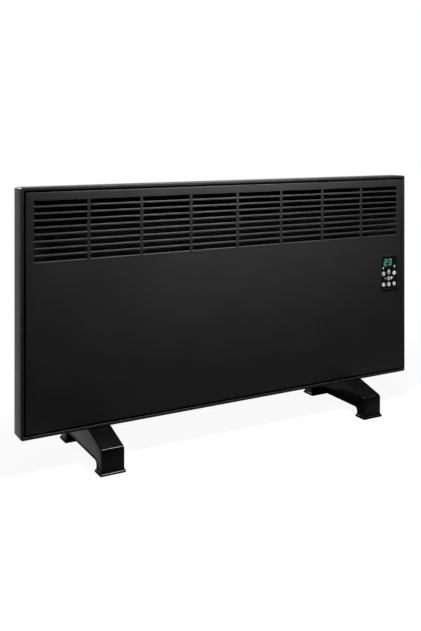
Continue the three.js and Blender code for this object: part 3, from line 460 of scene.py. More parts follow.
# parts inside the casing that take inner_black: their black coating, darkened further as painted shade
SHADE_DARKENED_INSIDE = ("heat_shield", "panel_bracket_lower_left", "panel_bracket_lower_right",
          "panel_bracket_upper_left", "panel_bracket_upper_right")


def build_effects():
    return {
        "grain": grain_effect(),
        "mill": mill_effect(),
        "spangle": spangle_effect(),
        "tracks": track_effect(),
        "wear": wear_effect(),
        "dust": dust_effect(),
    }


def new_material(name):
    material = bpy.data.materials.new(name)
    material.use_nodes = True
    tree = material.node_tree
    return material, tree, tree.nodes["Principled BSDF"].inputs


def finish(name, effects, values):
    """One finish: its grain, its drift of tone, its worn edges and its dust."""
    dark, light, gloss, metallic, specular, surface, scale, relief, worn, dust = values
    material, tree, shader = new_material(name)
    shader["Metallic"].default_value = metallic
    shader["Specular IOR Level"].default_value = specular
    texture = place_effect(tree, effects[surface], Scale=scale)
    colour = mixed(tree, texture["Tone"], (*dark, 1), (*light, 1))
    roughness = spread(tree, texture["Tone"], 0, 1, *gloss)
    if worn:
        mask = place_effect(tree, effects["wear"])["Mask"]
        colour = mixed(tree, product(tree, mask, WEAR_SHARE), colour, (worn, worn, worn, 1))
    if dust:
        mask = place_effect(tree, effects["dust"], Amount=dust)["Mask"]
        colour = mixed(tree, mask, colour, DUST_COLOUR)
        roughness = blend(tree, mask, roughness, DUST_ROUGHNESS)
    bump = put(tree, "Bump", {"Height": texture["Height"], "Strength": 1.0, "Distance": relief * MM})
    tree.links.new(colour, shader["Base Color"])
    tree.links.new(roughness, shader["Roughness"])
    tree.links.new(bump.outputs["Normal"], shader["Normal"])
    return material


def smoked_lens(effects):
    """Tinted clear plastic with faint finger marks."""
    material, tree, shader = new_material("smoked_lens")
    tone = place_effect(tree, effects["grain"], Scale=400.0)["Tone"]
    tree.links.new(mixed(tree, tone, *SMOKE), shader["Base Color"])
    tree.links.new(spread(tree, tone, 0, 1, 0.02, 0.07), shader["Roughness"])
    shader["Transmission Weight"].default_value = 1.0
    shader["Specular IOR Level"].default_value = 0.4
    return material


def glowing(name, effects, dim, bright):
    """A light behind a diffuser, a little uneven."""
    material, tree, shader = new_material(name)
    tone = place_effect(tree, effects["grain"], Scale=900.0)["Tone"]
    tree.links.new(mixed(tree, tone, dim, bright), shader["Emission Color"])
    tree.links.new(mixed(tree, tone, *DIFFUSER), shader["Base Color"])
    shader["Emission Strength"].default_value = 1.0
    shader["Roughness"].default_value = 0.5
    return material


def finishes():
    effects = build_effects()
    for name, values in FINISHES.items():
        FINISH[name] = finish(name, effects, values)
    FINISH["smoked_lens"] = smoked_lens(effects)
    FINISH["lit"] = glowing("lit_segments", effects, *LIT_GREEN)
    FINISH["halo"] = glowing("display_halo", effects, *HALO_GREEN)


def dress():
    slot_of = {row["node"]: row["material_slot"] for row in frame["record"]["subparts"]}
    for name, node in frame["nodes"].items():
        node.data.materials.clear()
        # the inside parts take inner_black, which is darker than their own slot's finish: painted shade
        # inside the casing
        node.data.materials.append(FINISH["inner_black" if name in SHADE_DARKENED_INSIDE else slot_of[name]])


# ---------------------------------------------------------------- modelling by hand


def deselect_all():
    bpy.ops.object.select_all(action="DESELECT")


def make_active(piece):
    deselect_all()
    piece.select_set(True)
    bpy.context.view_layer.objects.active = piece


def named(name):
    piece = bpy.context.object
    piece.name = name
    piece.data.name = name
    return piece


def settle():
    bpy.ops.object.transform_apply(location=True, rotation=True, scale=True)


def cube(name, low, high):
    """A cube primitive stretched between two corners."""
    deselect_all()
    low, high = Vector(low), Vector(high)
    bpy.ops.mesh.primitive_cube_add(size=1, location=(low + high) / 2)
    piece = named(name)
    piece.scale = high - low
    settle()
    return piece


def disc(name, centre, radius, depth, sides=32):
    """A cylinder primitive that looks along Y, from its centre's depth backwards."""
    deselect_all()
    place = Vector(centre) + Vector((0, depth / 2, 0))
    bpy.ops.mesh.primitive_cylinder_add(
        vertices=sides, radius=radius, depth=depth, location=place, rotation=(math.pi / 2, 0, 0)
    )
    piece = named(name)
    settle()
    return piece


def rod(name, centre, radius, depth, sides=24):
    """A cylinder primitive that stands upright on its centre."""
    deselect_all()
    place = Vector(centre) + Vector((0, 0, depth / 2))
    bpy.ops.mesh.primitive_cylinder_add(vertices=sides, radius=radius, depth=depth, location=place)
    piece = named(name)
    settle()
    return piece


def edit(piece):
    make_active(piece)
    bpy.ops.object.mode_set(mode="EDIT")
    bpy.ops.mesh.select_all(action="DESELECT")


def done():
    bpy.ops.object.mode_set(mode="OBJECT")


def pick(kind, test):
    """Selects the vertices, edges or faces of the piece in edit mode whose test is true."""
    bpy.ops.mesh.select_mode(type=kind)
    bpy.ops.mesh.select_all(action="DESELECT")
    piece = bpy.context.object
    mesh = bmesh.from_edit_mesh(piece.data)
    parts = {"VERT": mesh.verts, "EDGE": mesh.edges, "FACE": mesh.faces}[kind]
    for part in parts:
        if test(part):
            part.select = True
    mesh.select_flush_mode()
    bmesh.update_edit_mesh(piece.data)


def faces(test):
    pick("FACE", test)


def edges(test):
    pick("EDGE", test)


def edges_at(y):
    """Selects the edges that lie wholly at one depth."""
    edges(lambda e: all(close(v.co.y, y, 0.01 * MM) for v in e.verts))


def faces_front(face):
    return face.normal.y < -0.99


def faces_back(face):
    return face.normal.y > 0.99


def broad_front(area):
    """Selects the faces at the front that are larger than so many square millimetres."""
    faces(lambda f: faces_front(f) and f.calc_area() > area * MM * MM)


def push(x=0.0, y=0.0, z=0.0):
    bpy.ops.mesh.extrude_region_move(TRANSFORM_OT_translate={"value": (x, y, z)})


def inset(width):
    bpy.ops.mesh.inset(thickness=width, use_even_offset=True)


def round_off(width, segments):
    bpy.ops.mesh.bevel(offset=width, segments=segments, affect="EDGES", clamp_overlap=True)


def grow(x=1.0, y=1.0, z=1.0, centre=(0, 0, 0)):
    bpy.ops.transform.resize(value=(x, y, z), center_override=centre)


def slice_at(axis, places, select=None):
    """Cuts lines across the selected faces, or all of them, square to an axis."""
    for place in places:
        if select is None:
            bpy.ops.mesh.select_all(action="SELECT")
        else:
            faces(select)
        point = Vector((0, 0, 0))
        point[axis] = place
        square = Vector((0, 0, 0))
        square[axis] = 1
        bpy.ops.mesh.bisect(plane_co=point, plane_no=square)


def slice_off(point, outward):
    """Cuts everything away beyond a plane, and closes the cut."""
    bpy.ops.mesh.select_all(action="SELECT")
    bpy.ops.mesh.bisect(plane_co=point, plane_no=outward, use_fill=True, clear_outer=True)


def middle(edge):
    return (edge.verts[0].co + edge.verts[1].co) / 2


def runs(edge, axis):
    way = edge.verts[1].co - edge.verts[0].co
    return abs(way[axis]) > 0.999 * way.length


def close(a, b, reach=0.05 * MM):
    return abs(a - b) < reach


def centre_of(name):
    low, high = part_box(name)
    return (low + high) / 2


def modifier(piece, kind, **settings):
    make_active(piece)
    change = piece.modifiers.new(kind.lower(), kind)
    for key, value in settings.items():
        setattr(change, key, value)
    bpy.ops.object.modifier_apply(modifier=change.name)


def join(name, pieces):
    deselect_all()
    if len(pieces) == 1:
        make_active(pieces[0])
        return named(name)
    for piece in pieces:
        piece.select_set(True)
    bpy.context.view_layer.objects.active = pieces[0]
    bpy.ops.object.join()
    return named(name)


def carve(piece, tools, operation="DIFFERENCE"):
    tool = join("tool", tools)
    modifier(piece, "BOOLEAN", operation=operation, object=tool, solver="EXACT")
    bpy.data.objects.remove(tool)


def smooth(piece, degrees=32):
    make_active(piece)
    bpy.ops.object.shade_smooth_by_angle(angle=math.radians(degrees))


def copy_of(piece, name, move):
    twin = piece.copy()
    twin.data = piece.data.copy()
    twin.name = name
    twin.data.name = name
    twin.data.transform(Matrix.Translation(move))
    bpy.context.collection.objects.link(twin)
    return twin


def keep(piece, body, slot, *nodes, look=None):
    """Puts a finished piece on its body in place of CAD nodes, in its slot's finish or another."""
    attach(piece, body)
    if nodes:
        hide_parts(*nodes)
    piece.data.materials.clear()
    piece.data.materials.append(FINISH[look or slot])


# ---------------------------------------------------------------- casing

CASE_LOW, CASE_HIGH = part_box("rear_casing")
CASE_MIDDLE = (CASE_LOW + CASE_HIGH) / 2
SHEET = 1.2 * MM
CASE_CORNER = 4 * MM
CASE_EDGE = 0.9 * MM
RIM = 5.3 * MM
RIM_ROLL = 0.9 * MM
LEDGE_DEPTH = 12 * MM
LEDGE_WIDTH = 7 * MM
INTAKE_ROWS = (19 * MM, 30 * MM)
INTAKE_PITCH = 80 * MM
INTAKE_SIZE = (66 * MM, 6 * MM)
HOOK_X = 300 * MM
HOOK_BELOW_TOP = 46 * MM
HOOK_SIZE = (30 * MM, 8 * MM)
HOOK_CORNER = 1.5 * MM
FOOT_X = 300 * MM
INTAKE_CLEAR = 59.75 * MM
GLAND_HOLE_R = 8 * MM
PANEL_SCREW_HOLE_R = 2 * MM
FOOT_SCREW_HOLE_R = 2.3 * MM
SHIELD_SCREW_HOLE_R = 1.8 * MM
FRONT_AREA = 100000


def stretch_to(inset_now, inset_next):
    """Widens the selected outline from one distance inside the casing's outline to another."""
    width = CASE_HIGH.x - CASE_LOW.x
    height = CASE_HIGH.z - CASE_LOW.z
    push()
    grow(
        x=(width - 2 * inset_next) / (width - 2 * inset_now),
        z=(height - 2 * inset_next) / (height - 2 * inset_now),
        centre=CASE_MIDDLE,
    )


def roll_the_rim():
    """Turns the rim's inner edge back through a quarter round."""
    for step in range(4):
        now = math.pi / 2 * step / 4
        later = math.pi / 2 * (step + 1) / 4
        stretch_to(RIM - RIM_ROLL * (1 - math.sin(now)), RIM - RIM_ROLL * (1 - math.sin(later)))
        bpy.ops.transform.translate(value=(0, RIM_ROLL * (math.cos(now) - math.cos(later)), 0))


def casing_shell():
    """The folded tray: rim, groove wall, ledge and the hollow behind them."""
    shell = cube("casing_shell", CASE_LOW, CASE_HIGH)
    edit(shell)
    edges(lambda e: runs(e, 1))
    round_off(CASE_CORNER, 6)
    edges(lambda e: any(abs(f.normal.y) > 0.99 for f in e.link_faces))
    round_off(CASE_EDGE, 4)
    broad_front(FRONT_AREA)
    stretch_to(CASE_EDGE, RIM - RIM_ROLL)
    roll_the_rim()
    push(y=LEDGE_DEPTH - RIM_ROLL)
    stretch_to(RIM, RIM + LEDGE_WIDTH)
    push(y=SHEET)
    stretch_to(RIM + LEDGE_WIDTH, RIM - SHEET)
    stretch_to(RIM - SHEET, SHEET)
    push(y=CASE_HIGH.y - SHEET - (CASE_LOW.y + LEDGE_DEPTH + SHEET))
    done()
    open_pocket(shell)
    carve(shell, casing_openings())
    smooth(shell)
    keep(shell, BODY, "black_paint", "rear_casing")


def open_pocket(shell):
    """Hollows the rim out behind its front, between the outer wall and the fold."""
    edit(shell)
    back = CASE_LOW.y + LEDGE_DEPTH + SHEET
    width = CASE_HIGH.x - CASE_LOW.x

    def is_pocket(face):
        from_side = min(CASE_HIGH.x - abs(v.co.x) for v in face.verts)
        from_end = min(min(CASE_HIGH.z - v.co.z, v.co.z - CASE_LOW.z) for v in face.verts)
        flat = all(close(v.co.y, back) for v in face.verts)
        narrow = face.calc_area() < width * 8 * MM
        return flat and narrow and min(from_side, from_end) < SHEET + 0.2 * MM

    faces(is_pocket)
    push(y=-LEDGE_DEPTH)
    done()


def back_hole(name, radius):
    place = centre_of(name)
    return disc("hole", (place.x, CASE_HIGH.y - 2 * SHEET, place.z), radius, 4 * SHEET)


def casing_openings():
    """Intake slots underneath, hook slots in the back, and the holes of the gland and screws."""
    tools = []
    width, depth = INTAKE_SIZE
    for k in range(-5, 6):
        x = k * INTAKE_PITCH
        if abs(abs(x) - FOOT_X) < INTAKE_CLEAR:
            continue
        for row in INTAKE_ROWS:
            y = CASE_LOW.y + row
            low = (x - width / 2, y - depth / 2, CASE_LOW.z - SHEET)
            high = (x + width / 2, y + depth / 2, CASE_LOW.z + 2 * SHEET)
            tools.append(rounded_tool("slot", low, high, 2, depth / 2.2))
    width, height = HOOK_SIZE
    for x in (-HOOK_X, HOOK_X):
        z = CASE_HIGH.z - HOOK_BELOW_TOP
        low = (x - width / 2, CASE_HIGH.y - 2 * SHEET, z - height / 2)
        high = (x + width / 2, CASE_HIGH.y + SHEET, z + height / 2)
        tools.append(rounded_tool("slot", low, high, 1, HOOK_CORNER))
    tools.append(back_hole("cable_gland", GLAND_HOLE_R))
    tools.extend(back_hole(name, PANEL_SCREW_HOLE_R) for name in PANEL_SCREWS)
    for name in FOOT_SCREWS:
        place = centre_of(name)
        start = (place.x, place.y, CASE_LOW.z - SHEET)
        tools.append(rod("hole", start, FOOT_SCREW_HOLE_R, 4 * SHEET))
    tools.extend(back_hole(name, SHIELD_SCREW_HOLE_R) for name in SHIELD_SCREWS)
    return tools


def rounded_tool(name, low, high, axis, radius):
    tool = cube(name, low, high)
    edit(tool)
    edges(lambda e: runs(e, axis))
    round_off(radius, 4)
    done()
    return tool


# ---------------------------------------------------------------- louvred front panel

PANEL_LOW, PANEL_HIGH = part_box("front_panel")
PANEL_TRIM = Vector((0.8 * MM, 0, 0.8 * MM))
PANEL_LOW, PANEL_HIGH = PANEL_LOW + PANEL_TRIM, PANEL_HIGH - PANEL_TRIM
PANEL_CORNER = 2 * MM
PANEL_EDGE = 0.9 * MM
SLOT_COLUMNS = 8
SLOT_ROWS = 9
SLOT_LENGTH = 101.3 * MM
SLOT_HEIGHT = 8.5 * MM
COLUMN_PITCH = 107.15 * MM
ROW_PITCH = 12.65 * MM
FIRST_ROW_BELOW_TOP = 28.65 * MM
LIP_DEPTH = 3 * MM
ROLL_ABOVE = 0.85 * MM
ROLL_BELOW = 1.15 * MM
ROLL_STEPS = 5
PANEL_SHEET = 0.8 * MM
CONTROL_X = 402.8 * MM
CONTROL_Z = CASE_LOW.z + 231 * MM
SLEEVE_SIZE = (48.4 * MM, 75.4 * MM)
GAP = 0.3 * MM


def columns():
    return [(c - (SLOT_COLUMNS - 1) / 2) * COLUMN_PITCH for c in range(SLOT_COLUMNS)]


def rows():
    return [CASE_HIGH.z - FIRST_ROW_BELOW_TOP - r * ROW_PITCH for r in range(SLOT_ROWS)]


def is_slot(face):
    place = face.calc_center_median()
    in_column = any(abs(place.x - x) < SLOT_LENGTH / 4 for x in columns())
    return in_column and any(abs(place.z - z) < SLOT_HEIGHT / 4 for z in rows())


def at_front(edge):
    return all(close(v.co.y, PANEL_LOW.y) for v in edge.verts)


def on_outline(edge):
    place = middle(edge)
    wide = close(place.x, PANEL_LOW.x) or close(place.x, PANEL_HIGH.x)
    return wide or close(place.z, PANEL_LOW.z) or close(place.z, PANEL_HIGH.z)


def louvred_panel():
    """A sheet pierced by slots with rolled lips, its border folded back."""
    deselect_all()
    centre = (PANEL_LOW + PANEL_HIGH) / 2
    place = (centre.x, PANEL_LOW.y, centre.z)
    bpy.ops.mesh.primitive_plane_add(size=1, location=place, rotation=(math.pi / 2, 0, 0))
    panel = named("louvred_panel")
    panel.scale = (PANEL_HIGH.x - PANEL_LOW.x, PANEL_HIGH.z - PANEL_LOW.z, 1)
    settle()
    edit(panel)
    slice_at(0, [x + side * SLOT_LENGTH / 2 for x in columns() for side in (-1, 1)])
    slice_at(2, [z + edge for z in rows() for edge in (slot_edge(-1), slot_edge(1))])
    roll_the_slots()
    open_control_window()
    fold_the_border()
    done()
    modifier(panel, "SOLIDIFY", thickness=PANEL_SHEET, offset=-1, use_even_offset=True)
    smooth(panel, 40)
    keep(panel, BODY, "black_paint", "front_panel")


def slot_edge(side):
    """Height of a slot's cut in the flat sheet over its centre, or under it."""
    return side * (SLOT_HEIGHT / 2 + (ROLL_ABOVE if side > 0 else ROLL_BELOW))


def roll_the_slots():
    """Turns each slot's long edges inwards, tightly over the slot and gently under it."""
    faces(is_slot)
    bpy.ops.mesh.delete(type="FACE")
    for side, radius in ((1, ROLL_ABOVE), (-1, ROLL_BELOW)):
        levels = [z + slot_edge(side) for z in rows()]
        edges(lambda e: is_long_edge(e, levels))
        for step in range(ROLL_STEPS):
            now = math.pi / 2 * step / ROLL_STEPS
            later = math.pi / 2 * (step + 1) / ROLL_STEPS
            inwards = radius * (math.sin(later) - math.sin(now))
            push(y=inwards, z=-side * radius * (math.cos(now) - math.cos(later)))
        push(y=LIP_DEPTH - radius)


def is_long_edge(edge, levels):
    place = middle(edge)
    open_side = len(edge.link_faces) == 1 and runs(edge, 0) and abs(place.x) < PANEL_HIGH.x - SHEET
    return open_side and any(close(place.z, level) for level in levels)


def open_control_window():
    half_width = SLEEVE_SIZE[0] / 2 + GAP
    half_height = SLEEVE_SIZE[1] / 2 + GAP
    below = rows()[-1] - SLOT_HEIGHT

    def is_below(face):
        return face.calc_center_median().z < below

    slice_at(0, (CONTROL_X - half_width, CONTROL_X + half_width), is_below)
    slice_at(2, (CONTROL_Z - half_height, CONTROL_Z + half_height), is_below)

    def in_window(face):
        place = face.calc_center_median()
        return abs(place.x - CONTROL_X) < half_width and abs(place.z - CONTROL_Z) < half_height

    faces(in_window)
    bpy.ops.mesh.delete(type="FACE")


def fold_the_border():
    edges(lambda e: len(e.link_faces) == 1 and at_front(e) and on_outline(e))
    push(y=PANEL_HIGH.y - PANEL_LOW.y)
    edges(lambda e: runs(e, 1) and close(abs(middle(e).x), PANEL_HIGH.x) and on_corner(e))
    round_off(PANEL_CORNER, 4)
    edges(lambda e: at_front(e) and any(is_border_wall(f) for f in e.link_faces))
    round_off(PANEL_EDGE, 4)


def on_corner(edge):
    return close(middle(edge).z, PANEL_LOW.z) or close(middle(edge).z, PANEL_HIGH.z)


def is_border_wall(face):
    return max(v.co.y for v in face.verts) > PANEL_LOW.y + 2 * LIP_DEPTH


# ---------------------------------------------------------------- feet

FOOT_LOW, FOOT_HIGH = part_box("left_foot")
FOOT_CENTRE_X = (FOOT_LOW.x + FOOT_HIGH.x) / 2
FOOT_HALF = 22.5 * MM
FLARE = 2.5 * MM
POST_FRONT = FOOT_LOW.y + FLARE
POST_BACK = POST_FRONT + 25.5 * MM
LEG_BACK = FOOT_HIGH.y - FLARE
LEG_FRONT = LEG_BACK - 30.5 * MM
KNEE_Z = 46 * MM
KNEE_R = 7 * MM
ARCH_FRONT_Z = 19 * MM
ARCH_RISE = 2 * MM
ARCH_ROUND = 7.5 * MM
FOOT_EDGE = 1.8 * MM
PAD_LEVELS = (
    (7.6 * MM, 0.0),
    (5.7 * MM, 0.6 * MM),
    (4.5 * MM, 1.4 * MM),
    (3.6 * MM, FLARE),
    (0.6 * MM, FLARE),
    (0.0, FLARE - 0.4 * MM),
)
HOLLOWS = (
    (POST_FRONT + 4 * MM, POST_BACK - 3 * MM, -1 * MM, KNEE_Z - 12 * MM),
    (LEG_FRONT + 3 * MM, LEG_BACK - 4 * MM, -1 * MM, KNEE_Z - 14 * MM),
    (CASE_LOW.y - 26 * MM, CASE_LOW.y, 10 * MM, 50 * MM),
    (CASE_LOW.y + 38 * MM, CASE_LOW.y + 72 * MM, 10 * MM, 50 * MM),
    (CASE_LOW.y + 75 * MM, CASE_LOW.y + 108 * MM, 10 * MM, 44 * MM),
)
HOLLOW_X = (1.5 * MM, 19.5 * MM)
WELL_R = 5.6 * MM
WELL_DEPTH = 57 * MM
BORE_FROM = 50 * MM
BORE_DEPTH = 20 * MM
UNDER_FLOOR = -1 * MM


def foot_block():
    """The slab over the arch, with the post and the leg pushed down to the floor."""
    low = (FOOT_CENTRE_X - FOOT_HALF, POST_FRONT, ARCH_FRONT_Z)
    high = (FOOT_CENTRE_X + FOOT_HALF, LEG_BACK, FOOT_HIGH.z)
    foot = cube("foot", low, high)
    edit(foot)
    slice_at(1, (POST_BACK, LEG_FRONT))
    pick("VERT", lambda v: close(v.co.y, LEG_FRONT) and close(v.co.z, ARCH_FRONT_Z))
    bpy.ops.transform.translate(value=(0, 0, ARCH_RISE))
    faces(lambda f: f.normal.z < -0.9 and not POST_BACK < f.calc_center_median().y < LEG_FRONT)
    push()
    grow(z=0)
    return foot


def slope_the_top():
    for outer, inner in ((POST_FRONT, CASE_LOW.y), (LEG_BACK, CASE_HIGH.y)):
        along = Vector((0, inner - outer, FOOT_HIGH.z - KNEE_Z))
        outward = Vector((0, -along.z, abs(along.y)))
        if outer > inner:
            outward.y = along.z
        slice_off((0, outer, KNEE_Z), outward)


def knee_cut(run):
    """How far from a knee's corner its round starts."""
    slope = math.atan2(FOOT_HIGH.z - KNEE_Z, run)
    return KNEE_R * math.tan((math.pi / 2 - slope) / 2)


def round_the_foot():
    for y, run in ((POST_FRONT, CASE_LOW.y - POST_FRONT), (LEG_BACK, LEG_BACK - CASE_HIGH.y)):
        edges(lambda e: runs(e, 0) and close(middle(e).y, y) and close(middle(e).z, KNEE_Z))
        round_off(knee_cut(run), 7)
    for y in (POST_BACK, LEG_FRONT):
        edges(lambda e: runs(e, 0) and close(middle(e).y, y) and middle(e).z > 5 * MM)
        round_off(ARCH_ROUND, 5)
    edges(is_side_edge)
    round_off(FOOT_EDGE, 3)


def is_side_edge(edge):
    sides = [f for f in edge.link_faces if abs(f.normal.x) > 0.99]
    floor_edge = all(v.co.z < 0.01 * MM for v in edge.verts)
    return len(sides) == 1 and not floor_edge


def flare_the_pads():
    """Widens the post and the leg towards the floor, level by level."""
    slice_at(2, [level for level, _ in PAD_LEVELS[:-1]])
    for y0, y1 in ((POST_FRONT, POST_BACK), (LEG_FRONT, LEG_BACK)):
        centre = Vector((FOOT_CENTRE_X, (y0 + y1) / 2, 0))
        for level, wider in PAD_LEVELS[1:]:
            pick("VERT", lambda v: close(v.co.z, level) and y0 - FLARE < v.co.y < y1 + FLARE)
            grow(x=1 + wider / FOOT_HALF, y=1 + 2 * wider / (y1 - y0), centre=centre)


def foot_hollows():
    """The pockets on both sides of the middle wall, and the wells and bores of the screws."""
    tools = []
    for y0, y1, z0, z1 in HOLLOWS:
        for side in (-1, 1):
            x0, x1 = sorted(FOOT_CENTRE_X + side * x for x in HOLLOW_X)
            tools.append(cube("hollow", (x0, y0, z0), (x1, y1, z1)))
    for name in FOOT_SCREWS[:2]:
        place = centre_of(name)
        tools.append(rod("bore", (place.x, place.y, UNDER_FLOOR), WELL_R, WELL_DEPTH))
        tools.append(rod("bore", (place.x, place.y, BORE_FROM), FOOT_SCREW_HOLE_R, BORE_DEPTH))
    return tools


def feet():
    foot = foot_block()
    slope_the_top()
    round_the_foot()
    flare_the_pads()
    done()
    for tool in foot_hollows():
        carve(foot, [tool])
    smooth(foot, 34)
    foot.name = "foot_left"
    other = copy_of(foot, "foot_right", (2 * FOOT_X, 0, 0))
    keep(foot, BODY, "foot_plastic", "left_foot")
    keep(other, BODY, "foot_plastic", "right_foot")


# ---------------------------------------------------------------- control unit

BEZEL_LOW, BEZEL_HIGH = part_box("control_bezel")
FASCIA_LOW, FASCIA_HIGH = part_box("control_fascia")
MODULE_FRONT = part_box("display_module")[0].y
BEZEL_CORNER = 2.5 * MM
BEZEL_EDGE = 0.45 * MM
SLEEVE_WALL = 1.0 * MM
SLEEVE_OVERLAP = 0.4 * MM
SLEEVE_CORNER = 1.5 * MM
SLEEVE_HOLE_CORNER = 1.2 * MM
FASCIA_CORNER = 1 * MM
LENS_CORNER = 0.9 * MM
BUTTON_R = 4.5 * MM
CAP_EDGE = 0.55 * MM
CAP_RIM = 0.5 * MM
DISH_WALL = 1.4 * MM
BUTTON_FLANGE_R = 5.25 * MM
BUTTON_FLANGE = 1 * MM
STEM_R = 1.8 * MM
DISH_DEPTH = 0.15 * MM
PRINT = 0.05 * MM
DISPLAY_BORDER = 0.9 * MM
DISPLAY_FACE = MODULE_FRONT + 0.2 * MM
HALO_SIZE = (23.5 * MM, 15.5 * MM)
HALO_CORNER = 2.5 * MM
FIGURES_Z = CASE_LOW.z + 253.5 * MM
DIGIT_HEIGHT = 14 * MM
DIGIT_WIDTH = 9.3 * MM
DIGIT_PITCH = 12.4 * MM
SEGMENT = 1.8 * MM
TIP_SHARE = 0.25
SLANT = 0.1

# which of the seven bars are lit: top, middle, bottom, upper left and right, lower left and right
FIGURES = {
    "2": (1, 1, 1, 0, 1, 1, 0),
    "3": (1, 1, 1, 0, 1, 0, 1),
}


def rounded_plate(name, x, z, width, height, front, back, corner, edge=0.0):
    """A plate with round corners and a softened front edge."""
    low = (x - width / 2, front, z - height / 2)
    high = (x + width / 2, back, z + height / 2)
    piece = cube(name, low, high)
    edit(piece)
    edges(lambda e: runs(e, 1))
    round_off(corner, 5)
    if edge:
        edges_at(front)
        round_off(edge, 3)
    done()
    return piece


def plate_like(name, node, corner, edge):
    """A rounded plate that fills the box of a CAD node."""
    low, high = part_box(node)
    centre, size = (low + high) / 2, high - low
    return rounded_plate(name, centre.x, centre.z, size.x, size.z, low.y, high.y, corner, edge)


def window_plate(name, width, height, front, back, corner, edge=0.0):
    """A rounded plate round the middle of the control window."""
    return rounded_plate(name, CONTROL_X, CONTROL_Z, width, height, front, back, corner, edge)


def bezel():
    """The window's frame, and the sleeve behind it that passes through the panel."""
    width = BEZEL_HIGH.x - BEZEL_LOW.x
    height = BEZEL_HIGH.z - BEZEL_LOW.z
    shelf = CASE_LOW.y - GAP
    ring = window_plate("window_frame", width, height, BEZEL_LOW.y, shelf, BEZEL_CORNER, BEZEL_EDGE)
    width, height = SLEEVE_SIZE
    start = shelf - SLEEVE_OVERLAP
    sleeve = window_plate("sleeve", width, height, start, BEZEL_HIGH.y, SLEEVE_CORNER)
    carve(ring, [sleeve], "UNION")
    width, height = width - 2 * SLEEVE_WALL, height - 2 * SLEEVE_WALL
    front, back = BEZEL_LOW.y - MM, BEZEL_HIGH.y + MM
    carve(ring, [window_plate("hole", width, height, front, back, SLEEVE_HOLE_CORNER)])
    modifier(ring, "BEVEL", width=0.12 * MM, segments=2, limit_method="ANGLE", angle_limit=0.8)
    smooth(ring)
    keep(ring, BODY, "trim_plastic", "control_bezel")


def fascia():
    """The glossy plate, pierced for the buttons, the display's lens and the indicators."""
    width = FASCIA_HIGH.x - FASCIA_LOW.x
    height = FASCIA_HIGH.z - FASCIA_LOW.z
    face = window_plate("window_fascia", width, height, FASCIA_LOW.y, FASCIA_HIGH.y, FASCIA_CORNER)
    front, back = FASCIA_LOW.y - MM, FASCIA_HIGH.y + MM
    tools = []
    for name in BUTTONS:
        centre = centre_of(name)
        tools.append(disc("hole", (centre.x, front, centre.z), BUTTON_R + GAP, back - front, 40))
    for name in ("display_window", *INDICATORS):
        low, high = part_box(name)
        centre = (low + high) / 2
        wide, tall = high.x - low.x + 2 * GAP, high.z - low.z + 2 * GAP
        tools.append(rounded_plate("hole", centre.x, centre.z, wide, tall, front, back, LENS_CORNER))
    carve(face, tools)
    modifier(face, "BEVEL", width=0.14 * MM, segments=2, limit_method="ANGLE", angle_limit=0.9)
    smooth(face)
    keep(face, BODY, "gloss_black", "control_fascia")


def lens():
    piece = plate_like("display_lens", "display_window", LENS_CORNER, 0.12 * MM)
    smooth(piece)
    keep(piece, BODY, "smoked_lens", "display_window")


def display_block():
    """The display's body, its face set in behind a thin border, and the glow on that face."""
    block = plate_like("display_block", "display_module", 0.8 * MM, 0.15 * MM)
    edit(block)
    broad_front(100)
    inset(DISPLAY_BORDER)
    push(y=DISPLAY_FACE - MODULE_FRONT)
    done()
    smooth(block)
    keep(block, BODY, "display_body", "display_module")
    front, back = DISPLAY_FACE - PRINT / 2, DISPLAY_FACE + PRINT
    middle_x = centre_of("display_module").x
    halo = rounded_plate("display_halo", middle_x, FIGURES_Z, *HALO_SIZE, front, back, HALO_CORNER)
    keep(halo, BODY, "display_body", look="halo")


def bar_of_figure(x, z, flat):
    """One bar of a figure: a block whose two ends are drawn to a point."""
    half = (DIGIT_WIDTH / 2 - SEGMENT * 0.55) if flat else (DIGIT_HEIGHT / 4 - SEGMENT * 0.3)
    half -= SEGMENT / 2
    reach = (half, SEGMENT / 2) if flat else (SEGMENT / 2, half)
    low = (x - reach[0], DISPLAY_FACE - PRINT, z - reach[1])
    high = (x + reach[0], DISPLAY_FACE + PRINT, z + reach[1])
    piece = cube("bar", low, high)
    along, across = ("x", "z") if flat else ("z", "x")
    for side in (-1, 1):
        edit(piece)
        faces(lambda f: getattr(f.normal, along) * side > 0.99)
        push(**{along: side * SEGMENT / 2})
        grow(**{across: TIP_SHARE, "centre": (x, 0, z)})
        done()
    return piece


def lit_figures(number):
    """The lit bars of the number, joined and slanted together."""
    side = (DIGIT_WIDTH - SEGMENT) / 2
    top = (DIGIT_HEIGHT - SEGMENT) / 2
    quarter = DIGIT_HEIGHT / 4
    spots = (
        (0, top, True), (0, 0, True), (0, -top, True),
        (-side, quarter, False), (side, quarter, False), (-side, -quarter, False), (side, -quarter, False),
    )
    centre = centre_of("display_window")
    bars = []
    for place, figure in zip((-0.5, 0.5), number):
        for lit, (x, z, flat) in zip(FIGURES[figure], spots):
            if lit:
                bars.append(bar_of_figure(centre.x + place * DIGIT_PITCH + x, FIGURES_Z + z, flat))
    figures = join("display_figures", bars)
    shear = Matrix.Identity(4)
    shear[0][2] = SLANT
    shear[0][3] = -SLANT * FIGURES_Z
    figures.data.transform(shear)
    keep(figures, BODY, "display_body", look="lit")


